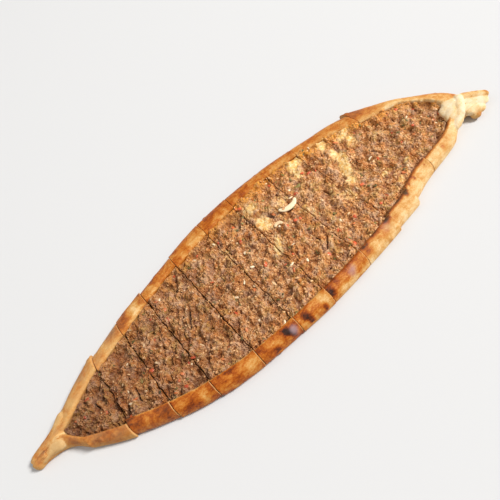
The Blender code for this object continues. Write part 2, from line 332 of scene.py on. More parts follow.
def hull_of_block(lattice, with_underside=True):
    """The outer faces of a block of points, shaped (along, across, up): points and faces."""
    ids = np.arange(lattice[..., 0].size).reshape(lattice.shape[:3])

    def sheet(corner):
        quads = (corner[:-1, :-1], corner[1:, :-1], corner[1:, 1:], corner[:-1, 1:])
        return np.stack(quads, -1).reshape(-1, 4).tolist()

    faces = sheet(ids[:, :, -1]) + sheet(ids[:, 0, :]) + sheet(ids[:, -1, :].T)
    faces += sheet(ids[-1, :, :]) + sheet(ids[0, :, :].T)
    if with_underside:
        faces += sheet(ids[:, :, 0].T)
    else:
        low = ids[:, :, 0]
        around = (low[:-1, 0], low[-1, :-1], low[:0:-1, -1], low[0, :0:-1])
        faces.append(np.concatenate(around)[::-1].tolist())
    used = np.unique(np.concatenate([np.ravel(f) for f in faces]))
    renumbered = np.full(ids.size, -1)
    renumbered[used] = np.arange(len(used))
    return used, [[int(renumbered[i]) for i in face] for face in faces]


def write_notes(mesh, notes):
    """Give a mesh its named values, one for each point."""
    for key, values in notes.items():
        data = mesh.attributes.new(key, "FLOAT", "POINT").data
        data.foreach_set("value", values.astype(np.float32))
    mesh.shade_smooth()


def read_note(mesh, key):
    """A mesh's named values, one for each point."""
    values = np.empty(len(mesh.vertices), np.float32)
    mesh.attributes[key].data.foreach_get("value", values)
    return values


def new_piece(name, points, faces, notes):
    """A mesh object from points, faces and named values."""
    mesh = bpy.data.meshes.new(name)
    mesh.from_pydata(points.tolist(), [], faces)
    write_notes(mesh, notes)
    piece = bpy.data.objects.new(name, mesh)
    bpy.context.scene.collection.objects.link(piece)
    return piece


def block_piece(name, block, notes, with_underside=True):
    """A piece from a block of points and the named values of each of them."""
    used, faces = hull_of_block(block, with_underside)
    notes = {key: values.ravel()[used] for key, values in notes.items()}
    return new_piece(name, block.reshape(-1, 3)[used], faces, notes)


# The bread's surface is brushed, baked dough.  How far each spot is baked is one number,
# "bake", from raw white through gold to char; at the near rim's lip it also holds painted shade
# and a painted highlight.


def calc(tree, operation, *values, clamp=False):
    """A Math node's output."""
    inputs = dict(enumerate(values))
    return add_node(tree, "ShaderNodeMath", inputs, operation=operation, use_clamp=clamp).outputs[0]


def ramped(tree, value, low, high, to_low=0.0, to_high=1.0):
    """value carried smoothly from the range low..high to the range to_low..to_high."""
    inputs = {"Value": value, "From Min": low, "From Max": high, "To Min": to_low, "To Max": to_high}
    made = add_node(tree, "ShaderNodeMapRange", inputs, interpolation_type="SMOOTHSTEP")
    return made.outputs["Result"]


def vector_calc(tree, operation, first, second):
    """A Vector Math node's output; to scale, the second is a number."""
    inputs = {0: first, "Scale" if operation == "SCALE" else 1: second}
    return add_node(tree, "ShaderNodeVectorMath", inputs, operation=operation).outputs["Vector"]


def mixed(tree, factor, first, second, blend="MIX"):
    """A colour between two colours."""
    inputs = {0: factor, 6: first, 7: second}
    return add_node(tree, "ShaderNodeMix", inputs, data_type="RGBA", blend_type=blend).outputs[2]


def colour_ramp(tree, value, stops):
    """A colour from a row of (place, colour) stops."""
    made = add_node(tree, "ShaderNodeValToRGB", {"Fac": value})
    elements = made.color_ramp.elements
    while len(elements) < len(stops):
        elements.new(0.5)
    for element, (place, colour) in zip(elements, stops):
        element.position = place
        element.color = srgb(colour)
    return made.outputs["Color"]


def srgb(colour):
    """A colour from 0-255 screen values, as the linear values that shaders use."""
    shares = [value / 255.0 for value in colour]
    linear = [s / 12.92 if s <= 0.04045 else ((s + 0.055) / 1.055) ** 2.4 for s in shares]
    return (*linear, 1.0)


def noise(tree, place, scale, detail=3.0, roughness=0.55, distortion=0.0):
    """Soft noise, mostly between 0.3 and 0.7."""
    inputs = {"Vector": place, "Scale": scale, "Detail": detail, "Roughness": roughness,
              "Distortion": distortion}
    return add_node(tree, "ShaderNodeTexNoise", inputs).outputs["Fac"]


def swing(tree, place, *settings):
    """Noise about nought instead of about a half."""
    return calc(tree, "SUBTRACT", noise(tree, place, *settings), 0.5)


def cells(tree, place, scale, smoothness=None):
    """Round cells: a Voronoi node's outputs, softened if a smoothness is given."""
    inputs = {"Vector": place, "Scale": scale}
    if smoothness is None:
        return add_node(tree, "ShaderNodeTexVoronoi", inputs).outputs
    inputs["Smoothness"] = smoothness
    return add_node(tree, "ShaderNodeTexVoronoi", inputs, feature="SMOOTH_F1").outputs


def bumped(tree, surface, height, strength, distance):
    """Join a Bump node to a shader."""
    inputs = {"Height": height, "Strength": strength, "Distance": distance}
    bump = add_node(tree, "ShaderNodeBump", inputs)
    tree.links.new(bump.outputs["Normal"], surface.inputs["Normal"])


def socket_kind(value):
    """The kind of a group's socket: the kind itself if that is given, or its default value's."""
    if isinstance(value, str):
        return "NodeSocket" + value
    if isinstance(value, tuple):
        return "NodeSocketColor" if len(value) == 4 else "NodeSocketVector"
    return "NodeSocketInt" if isinstance(value, int) else "NodeSocketFloat"


def new_group(name, tree_kind, inputs, output):
    """A node group: the group, its inputs, and the socket that its result is joined to.  Each
    input is given as its default value, or as its kind where it has none."""
    group = bpy.data.node_groups.new(name, tree_kind)
    for label, value in inputs.items():
        kind = socket_kind(value)
        socket = group.interface.new_socket(label, in_out="INPUT", socket_type=kind)
        if not isinstance(value, str):
            socket.default_value = value
    label, value = output
    group.interface.new_socket(label, in_out="OUTPUT", socket_type=socket_kind(value))
    given = group.nodes.new("NodeGroupInput").outputs
    return group, given, group.nodes.new("NodeGroupOutput").inputs[label]


def make_mottling():
    """Uneven cooking: a value from 0 to 1 in soft blotches with fine speckle over them."""
    group, given, result = new_group("mottling", "ShaderNodeTree", {
        "Vector": "Vector", "Blotch Scale": 120.0, "Speckle Scale": 900.0, "Speckle Share": 0.3,
    }, ("Value", "Float"))
    blotch = noise(group, given["Vector"], given["Blotch Scale"], 5.0, 0.6, 0.6)
    speckle = noise(group, given["Vector"], given["Speckle Scale"], 3.0, 0.6)
    share = given["Speckle Share"]
    wide = calc(group, "MULTIPLY", ramped(group, blotch, 0.30, 0.70), calc(group, "SUBTRACT", 1.0, share))
    fine = calc(group, "MULTIPLY", ramped(group, speckle, 0.30, 0.70), share)
    group.links.new(calc(group, "ADD", wide, fine), result)
    return group


mottling = make_mottling()

BAKE_COLOURS = (
    (0.00, (242, 226, 194)),
    (0.14, (240, 212, 164)),
    (0.28, (230, 188, 128)),
    (0.42, (210, 152, 80)),
    (0.56, (192, 114, 38)),
    (0.68, (166, 82, 18)),
    (0.80, (124, 54, 14)),
    (0.90, (80, 38, 18)),
    (1.00, (42, 24, 18)),
)
CRUMB_COLOUR = srgb((214, 164, 104))
# Painted shade in the pores of the open crumb.
PORE_SHADE_COLOUR = srgb((170, 112, 58))
ASH_COLOUR = srgb((168, 140, 142))
FLOUR_COLOUR = srgb((200, 160, 106))
DRAWN_OUT = (0.28, 1.0, 0.6)    # streaks are long where the dough was drawn out, along X


def mottled(tree, place, blotch, speckle, share):
    """The mottling group's value, at these scales."""
    inputs = {"Vector": place, "Blotch Scale": blotch, "Speckle Scale": speckle,
              "Speckle Share": share}
    return add_node(tree, "ShaderNodeGroup", inputs, node_tree=mottling).outputs["Value"]


def noted(tree, name):
    """A named value of the mesh."""
    return add_node(tree, "ShaderNodeAttribute", attribute_name=name).outputs["Fac"]


def make_crust(name, unevenness, gloss):
    """Baked dough: coloured by how far it is baked, with flour and ash where they are noted,
    and with open crumb where it was cut, darker in its pores as painted shade."""
    material, tree, surface = new_material(name)
    place = add_node(tree, "ShaderNodeTexCoord").outputs["Object"]
    patches = calc(tree, "SUBTRACT", mottled(tree, place, 88.0, 700.0, 0.30), 0.5)
    drawn_out = vector_calc(tree, "MULTIPLY", place, DRAWN_OUT)
    streaks = calc(tree, "SUBTRACT", mottled(tree, drawn_out, 330.0, 1500.0, 0.4), 0.5)
    change = calc(tree, "ADD", calc(tree, "MULTIPLY", patches, unevenness),
                  calc(tree, "MULTIPLY", streaks, unevenness * 0.55))
    depth = calc(tree, "ADD", noted(tree, "bake"), change, clamp=True)
    colour = colour_ramp(tree, depth, BAKE_COLOURS)

    dusted = ramped(tree, noise(tree, place, 150.0, 4.0, 0.6), 0.34, 0.60, 0.30, 0.80)
    dusted = calc(tree, "MULTIPLY", dusted, noted(tree, "flour"))
    colour = mixed(tree, dusted, colour, FLOUR_COLOUR)
    colour = mixed(tree, noted(tree, "ash"), colour, ASH_COLOUR)

    # The open crumb is darker in its pores: painted shade.
    out_of_pore_shade = ramped(tree, cells(tree, place, 900.0)["Distance"], 0.10, 0.42)
    crumb = mixed(tree, out_of_pore_shade, PORE_SHADE_COLOUR, CRUMB_COLOUR)
    colour = mixed(tree, noted(tree, "crumb"), colour, crumb)
    tree.links.new(colour, surface.inputs["Base Color"])

    dull = ramped(tree, depth, 0.1, 0.7, 0.78, gloss)
    tree.links.new(dull, surface.inputs["Roughness"])
    surface.inputs["Specular IOR Level"].default_value = 0.18
    uneven = calc(tree, "MULTIPLY", patches, 0.7)
    grain = calc(tree, "ADD", noise(tree, place, 1400.0, 4.0, 0.6), uneven)
    bumped(tree, surface, grain, 0.5, 0.0004)
    return material


pale_crust = make_crust("pale crust", 0.26, 0.66)
golden_crust = make_crust("golden crust", 0.35, 0.42)
cream_crust = make_crust("cream crust", 0.32, 0.50)

# How finely each block is drawn, how its rims and its cuts are shaped, and how far the faces
# that don't show are baked.
BREAD_STEP = 0.00085
FLOOR_POINTS = 44           # across the trough's floor
SIDE_POINTS = (2, 3, 3)     # on each span of the rim's outer side, and of its top
TOP_POINTS = (4, 5, 5, 4, 3, 2, 3, 4)
RIM_FOOT = 0.0022           # how far the rim's outer side is tucked in at its foot
LIP_ROUND = 0.0004          # how much lower still the lip's edge starts
LIP_TUCK = 0.0003           # how far the lip is tucked back under itself
SIDE_FADE = 14              # how soon the outer side's curve dies away inside the block
BREAD_HALF_GAP = (0.00006, 0.00030)     # a cut stands this far open either side of its middle
CUT_STEP = (-0.035, 0.050)  # how far a strip dips at its left cut and stands up at its right one
EDGE_ROUND = 0.0007         # how far the knife's edge is rounded off
CUT_REACH = 0.09            # a cut's wandering is drawn this far either side of the middle
UNDERSIDE_BAKE = 0.50
FLOOR_BAKE = 0.30

# How much open crumb shows along the top edge of a strip: at its left cut, and at its right
# one and just beside it on the far and the near rim.  At the right cut the pale edge is partly
# open crumb and partly a painted highlight where the cut's end catches the light.
LEFT_CUT_CRUMB = 0.25
RIGHT_CUT_CRUMB_AND_HIGHLIGHT = (0.30, 0.85)
BESIDE_RIGHT_CUT_CRUMB_AND_HIGHLIGHT = (0.0, 0.45)

# How far each strip is baked: far rim's outer side, top and inner edge, then the near rim's.
# The near rim's inner edge is darker beside the meat: partly browning, partly painted shade.
Bake = namedtuple("Bake", "far_out far_top far_in near_out near_top near_in")
STRIP_BAKES = [Bake(*row) for row in (
    (0.50, 0.51, 0.46, 0.46, 0.57, 0.60),
    (0.58, 0.57, 0.50, 0.64, 0.67, 0.71),
    (0.68, 0.68, 0.56, 0.66, 0.68, 0.71),
    (0.66, 0.61, 0.53, 0.62, 0.63, 0.73),
    (0.68, 0.59, 0.53, 0.64, 0.66, 0.69),
    (0.68, 0.64, 0.56, 0.56, 0.56, 0.69),
    (0.70, 0.64, 0.56, 0.44, 0.58, 0.72),
    (0.66, 0.60, 0.53, 0.32, 0.46, 0.71),
    (0.62, 0.55, 0.46, 0.27, 0.32, 0.84),
    (0.60, 0.54, 0.43, 0.30, 0.36, 0.76),
    (0.56, 0.42, 0.24, 0.29, 0.32, 0.70),
)]

# How far each strip is dusted with flour, on its far rim and on its near one.
FLOURED = ((0.75, 0.42), (0.62, 0.08), (0.15, 0.0), (0.05, 0.0), (0.0, 0.0), (0.0, 0.0),
           (0.0, 0.0), (0.05, 0.10), (0.05, 0.15), (0.10, 0.15), (0.20, 0.25))

# Where across a rim, from its outside in, those bakes stand.  The near rim's dark band beside the
# meat, partly browning and partly painted shade, is narrower on the right strips; on the left ones
# its very edge is paler, a painted highlight.
FAR_KNOTS = (0.0, 0.35, 0.62, 0.97)
NEAR_KNOTS = ((0.0, 0.35, 0.64, 0.84, 0.96), (0.0, 0.35, 0.72, 0.88, 0.98))
RIGHT_KNOTS_FROM = 8
# The strips before this one get a painted highlight along the lip, at this bake.
LIP_HIGHLIGHT_BEFORE = 6
LIP_HIGHLIGHT_BAKE = 0.48

# Scorched and pale spots: strip, side (1 far, -1 near), share along it, share across its rim
# from outside in, radius, and how much further it is baked there (or less, if negative).
Spot = namedtuple("Spot", "strip side along across radius bake")
SPOTS = [Spot(*row) for row in (
    (1, 1, 0.82, 0.35, 0.0070, 0.18),
    (1, -1, 0.85, 0.60, 0.0100, 0.14),
    (2, 1, 0.80, 0.30, 0.0090, 0.14),
    (2, 1, 0.75, 0.85, 0.0080, -0.10),
    (2, 1, 0.45, 0.45, 0.0075, -0.10),
    (3, 1, 0.62, 0.48, 0.0085, -0.30),
    (5, 1, 0.60, 0.60, 0.0090, -0.08),
    (2, -1, 0.12, 0.85, 0.0050, 0.14),
    (3, 1, 0.55, 0.88, 0.0110, -0.12),
    (3, -1, 0.75, 0.55, 0.0060, -0.12),
    (4, -1, 0.80, 0.60, 0.0080, -0.10),
    (5, -1, 0.73, 0.50, 0.0036, 0.34),
    (5, -1, 0.82, 0.22, 0.0030, 0.24),
    (5, -1, 0.36, 0.10, 0.0034, 0.26),
    (5, -1, 0.35, 0.72, 0.0060, -0.10),
    (6, -1, 0.22, 0.46, 0.0042, 0.36),
    (6, -1, 0.29, 0.10, 0.0028, 0.28),
    (6, -1, 0.82, 0.60, 0.0055, -0.30),
    (6, -1, 0.76, 0.14, 0.0028, 0.32),
    (7, -1, 0.05, 0.45, 0.0045, 0.36),
    (7, -1, 0.26, 0.70, 0.0060, 0.12),
    (7, -1, 0.34, 0.30, 0.0045, -0.16),
    (8, -1, 0.87, 0.82, 0.0042, 0.26),
    (8, -1, 0.12, 0.58, 0.0050, 0.18),
    (8, -1, 0.46, 0.80, 0.0040, 0.18),
    (8, -1, 0.36, 0.40, 0.0060, -0.14),
    (9, -1, 0.86, 0.72, 0.0022, 0.42),
    (9, -1, 0.10, 0.52, 0.0040, 0.18),
    (10, -1, 0.13, 0.72, 0.0013, 0.40),
    (10, -1, 0.38, 0.66, 0.0015, 0.40),
    (10, -1, 0.86, 0.60, 0.0010, 0.30),
    (11, -1, 0.24, 0.55, 0.0030, 0.24),
    (11, -1, 0.34, 0.62, 0.0016, 0.22),
    (11, 1, 0.07, 0.55, 0.0175, 0.26),
    (1, -1, 0.72, 0.75, 0.0070, 0.12),
    (1, -1, 0.45, 0.40, 0.0050, 0.10),
)]
ASH_SPOTS = [Spot(*row) for row in (
    (5, -1, 0.865, 0.34, 0.0034, 0.80),
    (7, -1, 0.60, 0.38, 0.0036, 0.45),
    (7, -1, 0.68, 0.52, 0.0028, 0.35),
    (8, -1, 0.76, 0.62, 0.0046, 0.22),
)]


def smooth_curve(knots, counts):
    """Points on a smooth curve through knots, shaped (sections, knots, 2), with so many
    points on each of its spans."""
    before = np.concatenate([knots[:, :1], knots[:, :-1]], axis=1)
    after = np.concatenate([knots[:, 1:], knots[:, -1:]], axis=1)
    slope = (after - before) / 2.0
    points = []
    for span, count in enumerate(counts):
        t = np.linspace(0.0, 1.0, count, endpoint=False)[None, :, None]
        p, q = knots[:, span, None], knots[:, span + 1, None]
        u, v = slope[:, span, None], slope[:, span + 1, None]
        points.append(
            (2 * t**3 - 3 * t**2 + 1) * p + (t**3 - 2 * t**2 + t) * u
            + (3 * t**2 - 2 * t**3) * q + (t**3 - t**2) * v
        )
    points.append(knots[:, -1:])
    return np.concatenate(points, axis=1)


def rim_curves(width, height, floor):
    """One rim in section, as distance inwards and height: its outer side from the foot up,
    and its top from the shoulder over the lip and down to the trough's floor."""
    def knots(*pairs):
        return np.stack([np.stack(pair, -1) for pair in pairs], 1)

    foot = np.minimum(RIM_FOOT, width * 0.35)
    deep = np.clip((height - floor) / (RIM_HEIGHT - BASE_THICKNESS), 0.0, 1.0)
    lip = height - LIP_DROP - LIP_ROUND
    shoulder = (width * 0.04, height * 0.46)
    side = knots((foot, 0.0 * height), (foot * 0.30, height * 0.08), (0.0 * width, height * 0.26), shoulder)
    top = knots(
        shoulder, (width * 0.17, height * 0.70), (width * 0.40, height * 0.885),
        (width * 0.66, height * 0.965), (width * 0.86, height), (width * 0.97, lip),
        (width, np.maximum(lip - 0.0012 * deep, floor)),
        (width - LIP_TUCK * deep, np.maximum(lip - 0.0032 * deep, floor)),
        (width + WALL_LEAN * 0.7 * deep, floor),
    )
    return smooth_curve(side, SIDE_POINTS), smooth_curve(top, TOP_POINTS)


def loose_line(seed, across, spacing, low, high):
    """A wandering value along a cut, between low and high."""
    draw = np.random.default_rng(seed)
    knots = np.arange(-CUT_REACH, CUT_REACH + spacing, spacing)
    values = draw.uniform(low, high, len(knots))
    return np.interp(across, knots + draw.uniform(-0.3, 0.3, len(knots)) * spacing, values)


def bread_block(index, plan):
    """The block of points of one strip of bread, and where each lies across its rim."""
    closed = plan.height - SEAM_DEPTH - LIP_DROP
    floor = closed + (BASE_THICKNESS - closed) * plan.trough
    far_width = np.minimum(plan.far_rim, plan.far - SEAM_HALF_GAP)
    near_width = np.minimum(plan.near_rim, plan.near - SEAM_HALF_GAP)
    far_side, far_top = rim_curves(far_width, plan.height, floor)
    near_side, near_top = rim_curves(near_width, plan.height, floor)
    far, near = plan.far[:, None], plan.near[:, None]
    near_edge = near_top[:, -1, 0] - plan.near
    far_edge = plan.far - far_top[:, -1, 0]
    shares = np.linspace(0.0, 1.0, FLOOR_POINTS)[None, 1:-1]
    level = near_edge[:, None] + (far_edge - near_edge)[:, None] * shares
    floors = np.repeat(floor[:, None], level.shape[1], 1)
    across = np.concatenate([near_top[..., 0] - near, level, (far - far_top[..., 0])[:, ::-1]], 1)
    height = np.concatenate([near_top[..., 1], floors, far_top[:, ::-1, 1]], 1)
    rank = np.linspace(0.0, 1.0, across.shape[1])[None]
    share = (across - across[:, :1]) / (across[:, -1:] - across[:, :1])
    share = 0.6 * np.maximum.accumulate(share, axis=1) + 0.4 * rank
    low_near, low_far = near_side[:, :1, 0] - near, far - far_side[:, :1, 0]
    low = low_near + (low_far - low_near) * share

    shift, step = np.zeros_like(across), np.zeros_like(plan.x)
    for cut, inside, away in cuts_beside(index, plan):
        half_gap = loose_line(800 + cut * 2 + (inside > 0), across, 0.0035, *BREAD_HALF_GAP)
        drift = loose_line(900 + cut, across, 0.0075, -0.0003, 0.0003)
        wanted = inside * (half_gap - KNIFE_GAP / 2.0) + drift
        shift += wanted * np.exp(-(away[:, None] / 0.003) ** 2)
        step += CUT_STEP[0 if inside > 0 else 1] * np.exp(-(away / 0.0055) ** 2)
    push = pushed_along(plan, shift)
    height = height * (1.0 + step[:, None])
    rise = np.linspace(0.0, 1.0, near_side.shape[1])
    block = np.empty((*across.shape, len(rise), 3))
    for k in range(len(rise)):
        place = low + (across - low) * rise[k]
        up = height * rise[k]
        for edge, fade, wanted, wanted_up in (
            (0, (1.0 - rank) ** SIDE_FADE, near_side[:, k, 0] - plan.near, near_side[:, k, 1]),
            (-1, rank ** SIDE_FADE, plan.far - far_side[:, k, 0], far_side[:, k, 1]),
        ):
            place = place + (wanted - place[:, edge])[:, None] * fade
            up = up + (wanted_up - up[:, edge])[:, None] * fade
        block[:, :, k] = placed(plan, place, up) + push
    return block, across


def spot_strength(spots, strip, plan, far_side, share, width):
    """How strongly the spots of one strip act at each point of its top."""
    total = np.zeros_like(share)
    along = ((plan.x - plan.x[0]) / (plan.x[-1] - plan.x[0]))[:, None]
    for spot in spots:
        if spot.strip != strip:
            continue
        off_along = (along - spot.along) * np.ptp(plan.x)
        distance = np.hypot(off_along, (share - spot.across) * width)
        strength = spot.bake * np.exp(-(distance / spot.radius) ** 3)
        total += np.where(far_side == (spot.side > 0), strength, 0.0)
    return total


def bread_notes(index, plan, block, across):
    """Bake, ash, flour and open crumb of every point of a strip's block, and how far it is
    from the nearest cut."""
    def through(values):
        return np.repeat(values[:, :, None], block.shape[2], 2)

    bakes = STRIP_BAKES[index]
    far_side = across > (plan.far - plan.near)[:, None] / 2.0
    width = np.where(far_side, plan.far_rim[:, None], plan.near_rim[:, None])
    share = np.where(far_side, plan.far[:, None] - across, across + plan.near[:, None]) / width
    far = np.interp(share, FAR_KNOTS, (bakes.far_out, bakes.far_top, bakes.far_top, bakes.far_in))
    # The lip: painted shade beside the meat, and a painted highlight at its very edge on the left strips.
    painted_lip = min(bakes.near_in, LIP_HIGHLIGHT_BAKE) if index < LIP_HIGHLIGHT_BEFORE else bakes.near_in
    near = np.interp(share, NEAR_KNOTS[index >= RIGHT_KNOTS_FROM],
                     (bakes.near_out, bakes.near_top, bakes.near_top, bakes.near_in, painted_lip))
    bake = np.where(far_side, far, near)
    bake = bake + spot_strength(SPOTS, index + 1, plan, far_side, share, width)
    bake = through(np.where(share > 1.1, FLOOR_BAKE, bake))
    bake[:, 0, :-1] = bakes.near_out
    bake[:, -1, :-1] = bakes.far_out
    bake[:, :, 0] = UNDERSIDE_BAKE
    ash = spot_strength(ASH_SPOTS, index + 1, plan, far_side, share, width)
    from_cut, crumb = np.ones(block.shape[:3]), np.zeros(block.shape[:3])
    for _, inside, away in cuts_beside(index, plan):
        from_cut = np.minimum(from_cut, away[:, None, None])
        face = 0 if inside > 0 else -1
        crumb[face, 1:-1, 1:-1] = 1.0
        crumb[face, :, -1] = LEFT_CUT_CRUMB
        if face == -1:
            # At the right cut the pale top edge is partly open crumb and partly a painted highlight.
            crumb[-1, :, -1] = np.where(far_side[-1], *RIGHT_CUT_CRUMB_AND_HIGHLIGHT)
            crumb[-2, :, -1] = np.where(far_side[-2], *BESIDE_RIGHT_CUT_CRUMB_AND_HIGHLIGHT)
    flour = np.where(far_side, *FLOURED[index])
    return {"bake": bake, "ash": through(ash), "flour": through(flour), "crumb": crumb,
            "from_cut": from_cut}


def stored(group, name):
    """A named value of the mesh, in Geometry Nodes."""
    made = add_node(group, "GeometryNodeInputNamedAttribute", {"Name": name}, data_type="FLOAT")
    return made.outputs["Attribute"]


def pushed_and_painted(group, given, push, result):
    """The end of a relief: its points pushed, and the whole given its material."""
    moved = add_node(group, "GeometryNodeSetPosition", {"Geometry": given["Geometry"], "Offset": push})
    real = add_node(group, "GeometryNodeRealizeInstances", {"Geometry": moved.outputs["Geometry"]})
    painted = add_node(group, "GeometryNodeSetMaterial", {
        "Geometry": real.outputs["Geometry"], "Material": given["Material"]})
    group.links.new(painted.outputs["Geometry"], result)


def make_dough_relief():
    """Uneven rise, wrinkles and small blisters on the crust, a rounded edge beside each cut,
    and open pores in the cut crumb.  The flat underside keeps its plane."""
    group, given, result = new_group("dough relief", "GeometryNodeTree", {
        "Geometry": "Geometry", "Rise": 0.0011, "Wrinkles": 0.0004, "Blisters": 0.0007,
        "Edge Round": EDGE_ROUND, "Pores": 0.0004, "Material": "Material",
    }, ("Geometry", "Geometry"))
    place = group.nodes.new("GeometryNodeInputPosition").outputs["Position"]
    normal = group.nodes.new("GeometryNodeInputNormal").outputs["Normal"]
    height = add_node(group, "ShaderNodeSeparateXYZ", {"Vector": place}).outputs["Z"]
    above_base = ramped(group, height, 0.0002, 0.0040)
    crumb = stored(group, "crumb")
    crust = calc(group, "SUBTRACT", 1.0, crumb)

    wrinkles = swing(group, place, 260.0, 3.0, 0.55, 0.8)
    blister = ramped(group, cells(group, place, 95.0, 0.4)["Distance"], 0.10, 0.34, 1.0, 0.0)
    some = ramped(group, noise(group, place, 38.0, 1.0), 0.48, 0.60)
    blister = calc(group, "MULTIPLY", blister, some)
    skin = calc(group, "MULTIPLY", swing(group, place, 55.0, 2.0, 0.5), given["Rise"])
    skin = calc(group, "MULTIPLY_ADD", wrinkles, given["Wrinkles"], skin)
    skin = calc(group, "MULTIPLY_ADD", blister, given["Blisters"], skin)
    skin = calc(group, "MULTIPLY", skin, calc(group, "MULTIPLY", above_base, crust))

    round_off = given["Edge Round"]
    short = calc(group, "SUBTRACT", round_off, stored(group, "from_cut"))
    short = calc(group, "MAXIMUM", short, 0.0)
    left = calc(group, "POWER", short, 2.0)
    left = calc(group, "SUBTRACT", calc(group, "POWER", round_off, 2.0), left)
    drop = calc(group, "SUBTRACT", round_off, calc(group, "SQRT", left))
    drop = calc(group, "MULTIPLY", drop, calc(group, "MULTIPLY", crust, above_base))
    skin = calc(group, "MULTIPLY_ADD", drop, -0.7, skin)

    pore = ramped(group, cells(group, place, 620.0)["Distance"], 0.15, 0.45, 1.0, 0.0)
    pore = calc(group, "MULTIPLY", pore, crumb)
    skin = calc(group, "MULTIPLY_ADD", pore, calc(group, "MULTIPLY", given["Pores"], -1.0), skin)
    pushed_and_painted(group, given, vector_calc(group, "SCALE", normal, skin), result)
    return group


def grown(piece, group, values):
    """Run a Geometry Nodes group on a piece with these inputs, and keep its result as a mesh."""
    modifier = piece.modifiers.new(group.name, "NODES")
    modifier.node_group = group
    sockets = {item.name: item.identifier for item in group.interface.items_tree
               if item.item_type == "SOCKET" and item.in_out == "INPUT"}
    for label, value in values.items():
        modifier[sockets[label]] = value
    return kept_mesh(piece)


def kept_mesh(piece):
    """Turn what a piece's modifiers make into its plain mesh, and remove them."""
    graph = bpy.context.evaluated_depsgraph_get()
    graph.update()
    mesh = bpy.data.meshes.new_from_object(piece.evaluated_get(graph))
    piece.modifiers.clear()
    old = piece.data
    piece.data = mesh
    bpy.data.meshes.remove(old)
    mesh.name = piece.name
    return piece


dough_relief = make_dough_relief()

# The lobes of dough at the two tails: a path in plan and height, with half-widths and
# half-heights at its points, and how far each is baked.
Fold = namedtuple("Fold", "path widths heights bake")
LEFT_FOLDS = (
    Fold(((-0.2425, -0.0070, 0.0078), (-0.2500, -0.0030, 0.0080), (-0.2610, -0.0005, 0.0070),
          (-0.2745, -0.0020, 0.0052)),
         (0.0050, 0.0072, 0.0068, 0.0058), (0.0048, 0.0052, 0.0048, 0.0038), 0.32),
    Fold(((-0.2320, 0.0160, 0.0080), (-0.2450, 0.0085, 0.0078), (-0.2590, 0.0045, 0.0062)),
         (0.0080, 0.0062, 0.0035), (0.0056, 0.0050, 0.0040), 0.33),
)
RIGHT_FOLDS = (
    Fold(((0.2262, -0.0200, 0.0118), (0.2330, -0.0240, 0.0122), (0.2430, -0.0245, 0.0122),
          (0.2515, -0.0222, 0.0114)),
         (0.0064, 0.0104, 0.0104, 0.0082), (0.0030, 0.0038, 0.0046, 0.0046), 0.13),
    Fold(((0.2225, -0.0315, 0.0118), (0.2310, -0.0310, 0.0130), (0.2400, -0.0262, 0.0140)),
         (0.0050, 0.0072, 0.0060), (0.0028, 0.0036, 0.0036), 0.16),
    Fold(((0.2190, -0.0425, 0.0080), (0.2325, -0.0380, 0.0112), (0.2445, -0.0295, 0.0134),
          (0.2570, -0.0182, 0.0108)),
         (0.0044, 0.0054, 0.0054, 0.0048), (0.0042, 0.0046, 0.0046, 0.0040), 0.10),
    Fold(((0.2560, -0.0205, 0.0108), (0.2670, -0.0300, 0.0104), (0.2775, -0.0392, 0.0092)),
         (0.0046, 0.0044, 0.0042), (0.0030, 0.0028, 0.0027), 0.24),
    Fold(((0.2520, -0.0260, 0.0088), (0.2620, -0.0345, 0.0086), (0.2735, -0.0425, 0.0080)),
         (0.0080, 0.0078, 0.0062), (0.0034, 0.0031, 0.0028), 0.08),
    Fold(((0.2450, -0.0330, 0.0082), (0.2560, -0.0402, 0.0070), (0.2650, -0.0455, 0.0062)),
         (0.0082, 0.0074, 0.0056), (0.0046, 0.0040, 0.0034), 0.10),
    Fold(((0.2475, -0.0415, 0.0044), (0.2560, -0.0478, 0.0046)),
         (0.0046, 0.0044), (0.0038, 0.0036), 0.30),
)
# Browned places on the tails: x, y, radius and how much further each is baked.
LEFT_TAIL_SPOTS = (
    (-0.2708, 0.0008, 0.0032, 0.20),
    (-0.2644, -0.0012, 0.0030, 0.18),
    (-0.2570, 0.0030, 0.0060, 0.08),
    (-0.2790, -0.0030, 0.0030, -0.14),
)
RIGHT_TAIL_SPOTS = (
    (0.2547, -0.0141, 0.0022, 0.26),
    (0.2640, -0.0215, 0.0028, 0.26),
    (0.2705, -0.0285, 0.0030, 0.30),
    (0.2770, -0.0355, 0.0034, 0.26),
    (0.2545, -0.0500, 0.0042, 0.34),
    (0.2590, -0.0480, 0.0030, 0.22),
    (0.2475, 0.0020, 0.0050, 0.14),
)
FOLD_SIDES = 28
FOLD_POINTS_PER_SPAN = 14
FOLD_BLUNTNESS = 0.03       # how blunt a lobe's two tips are
TAIL_VOXEL = 0.00062
# What is done at each end strip: its lobes, its browned places and how floury its lobes are.
TAILS = {
    0: (LEFT_FOLDS, LEFT_TAIL_SPOTS, 1.0),
    len(STRIPS) - 1: (RIGHT_FOLDS, RIGHT_TAIL_SPOTS, 0.25),
}


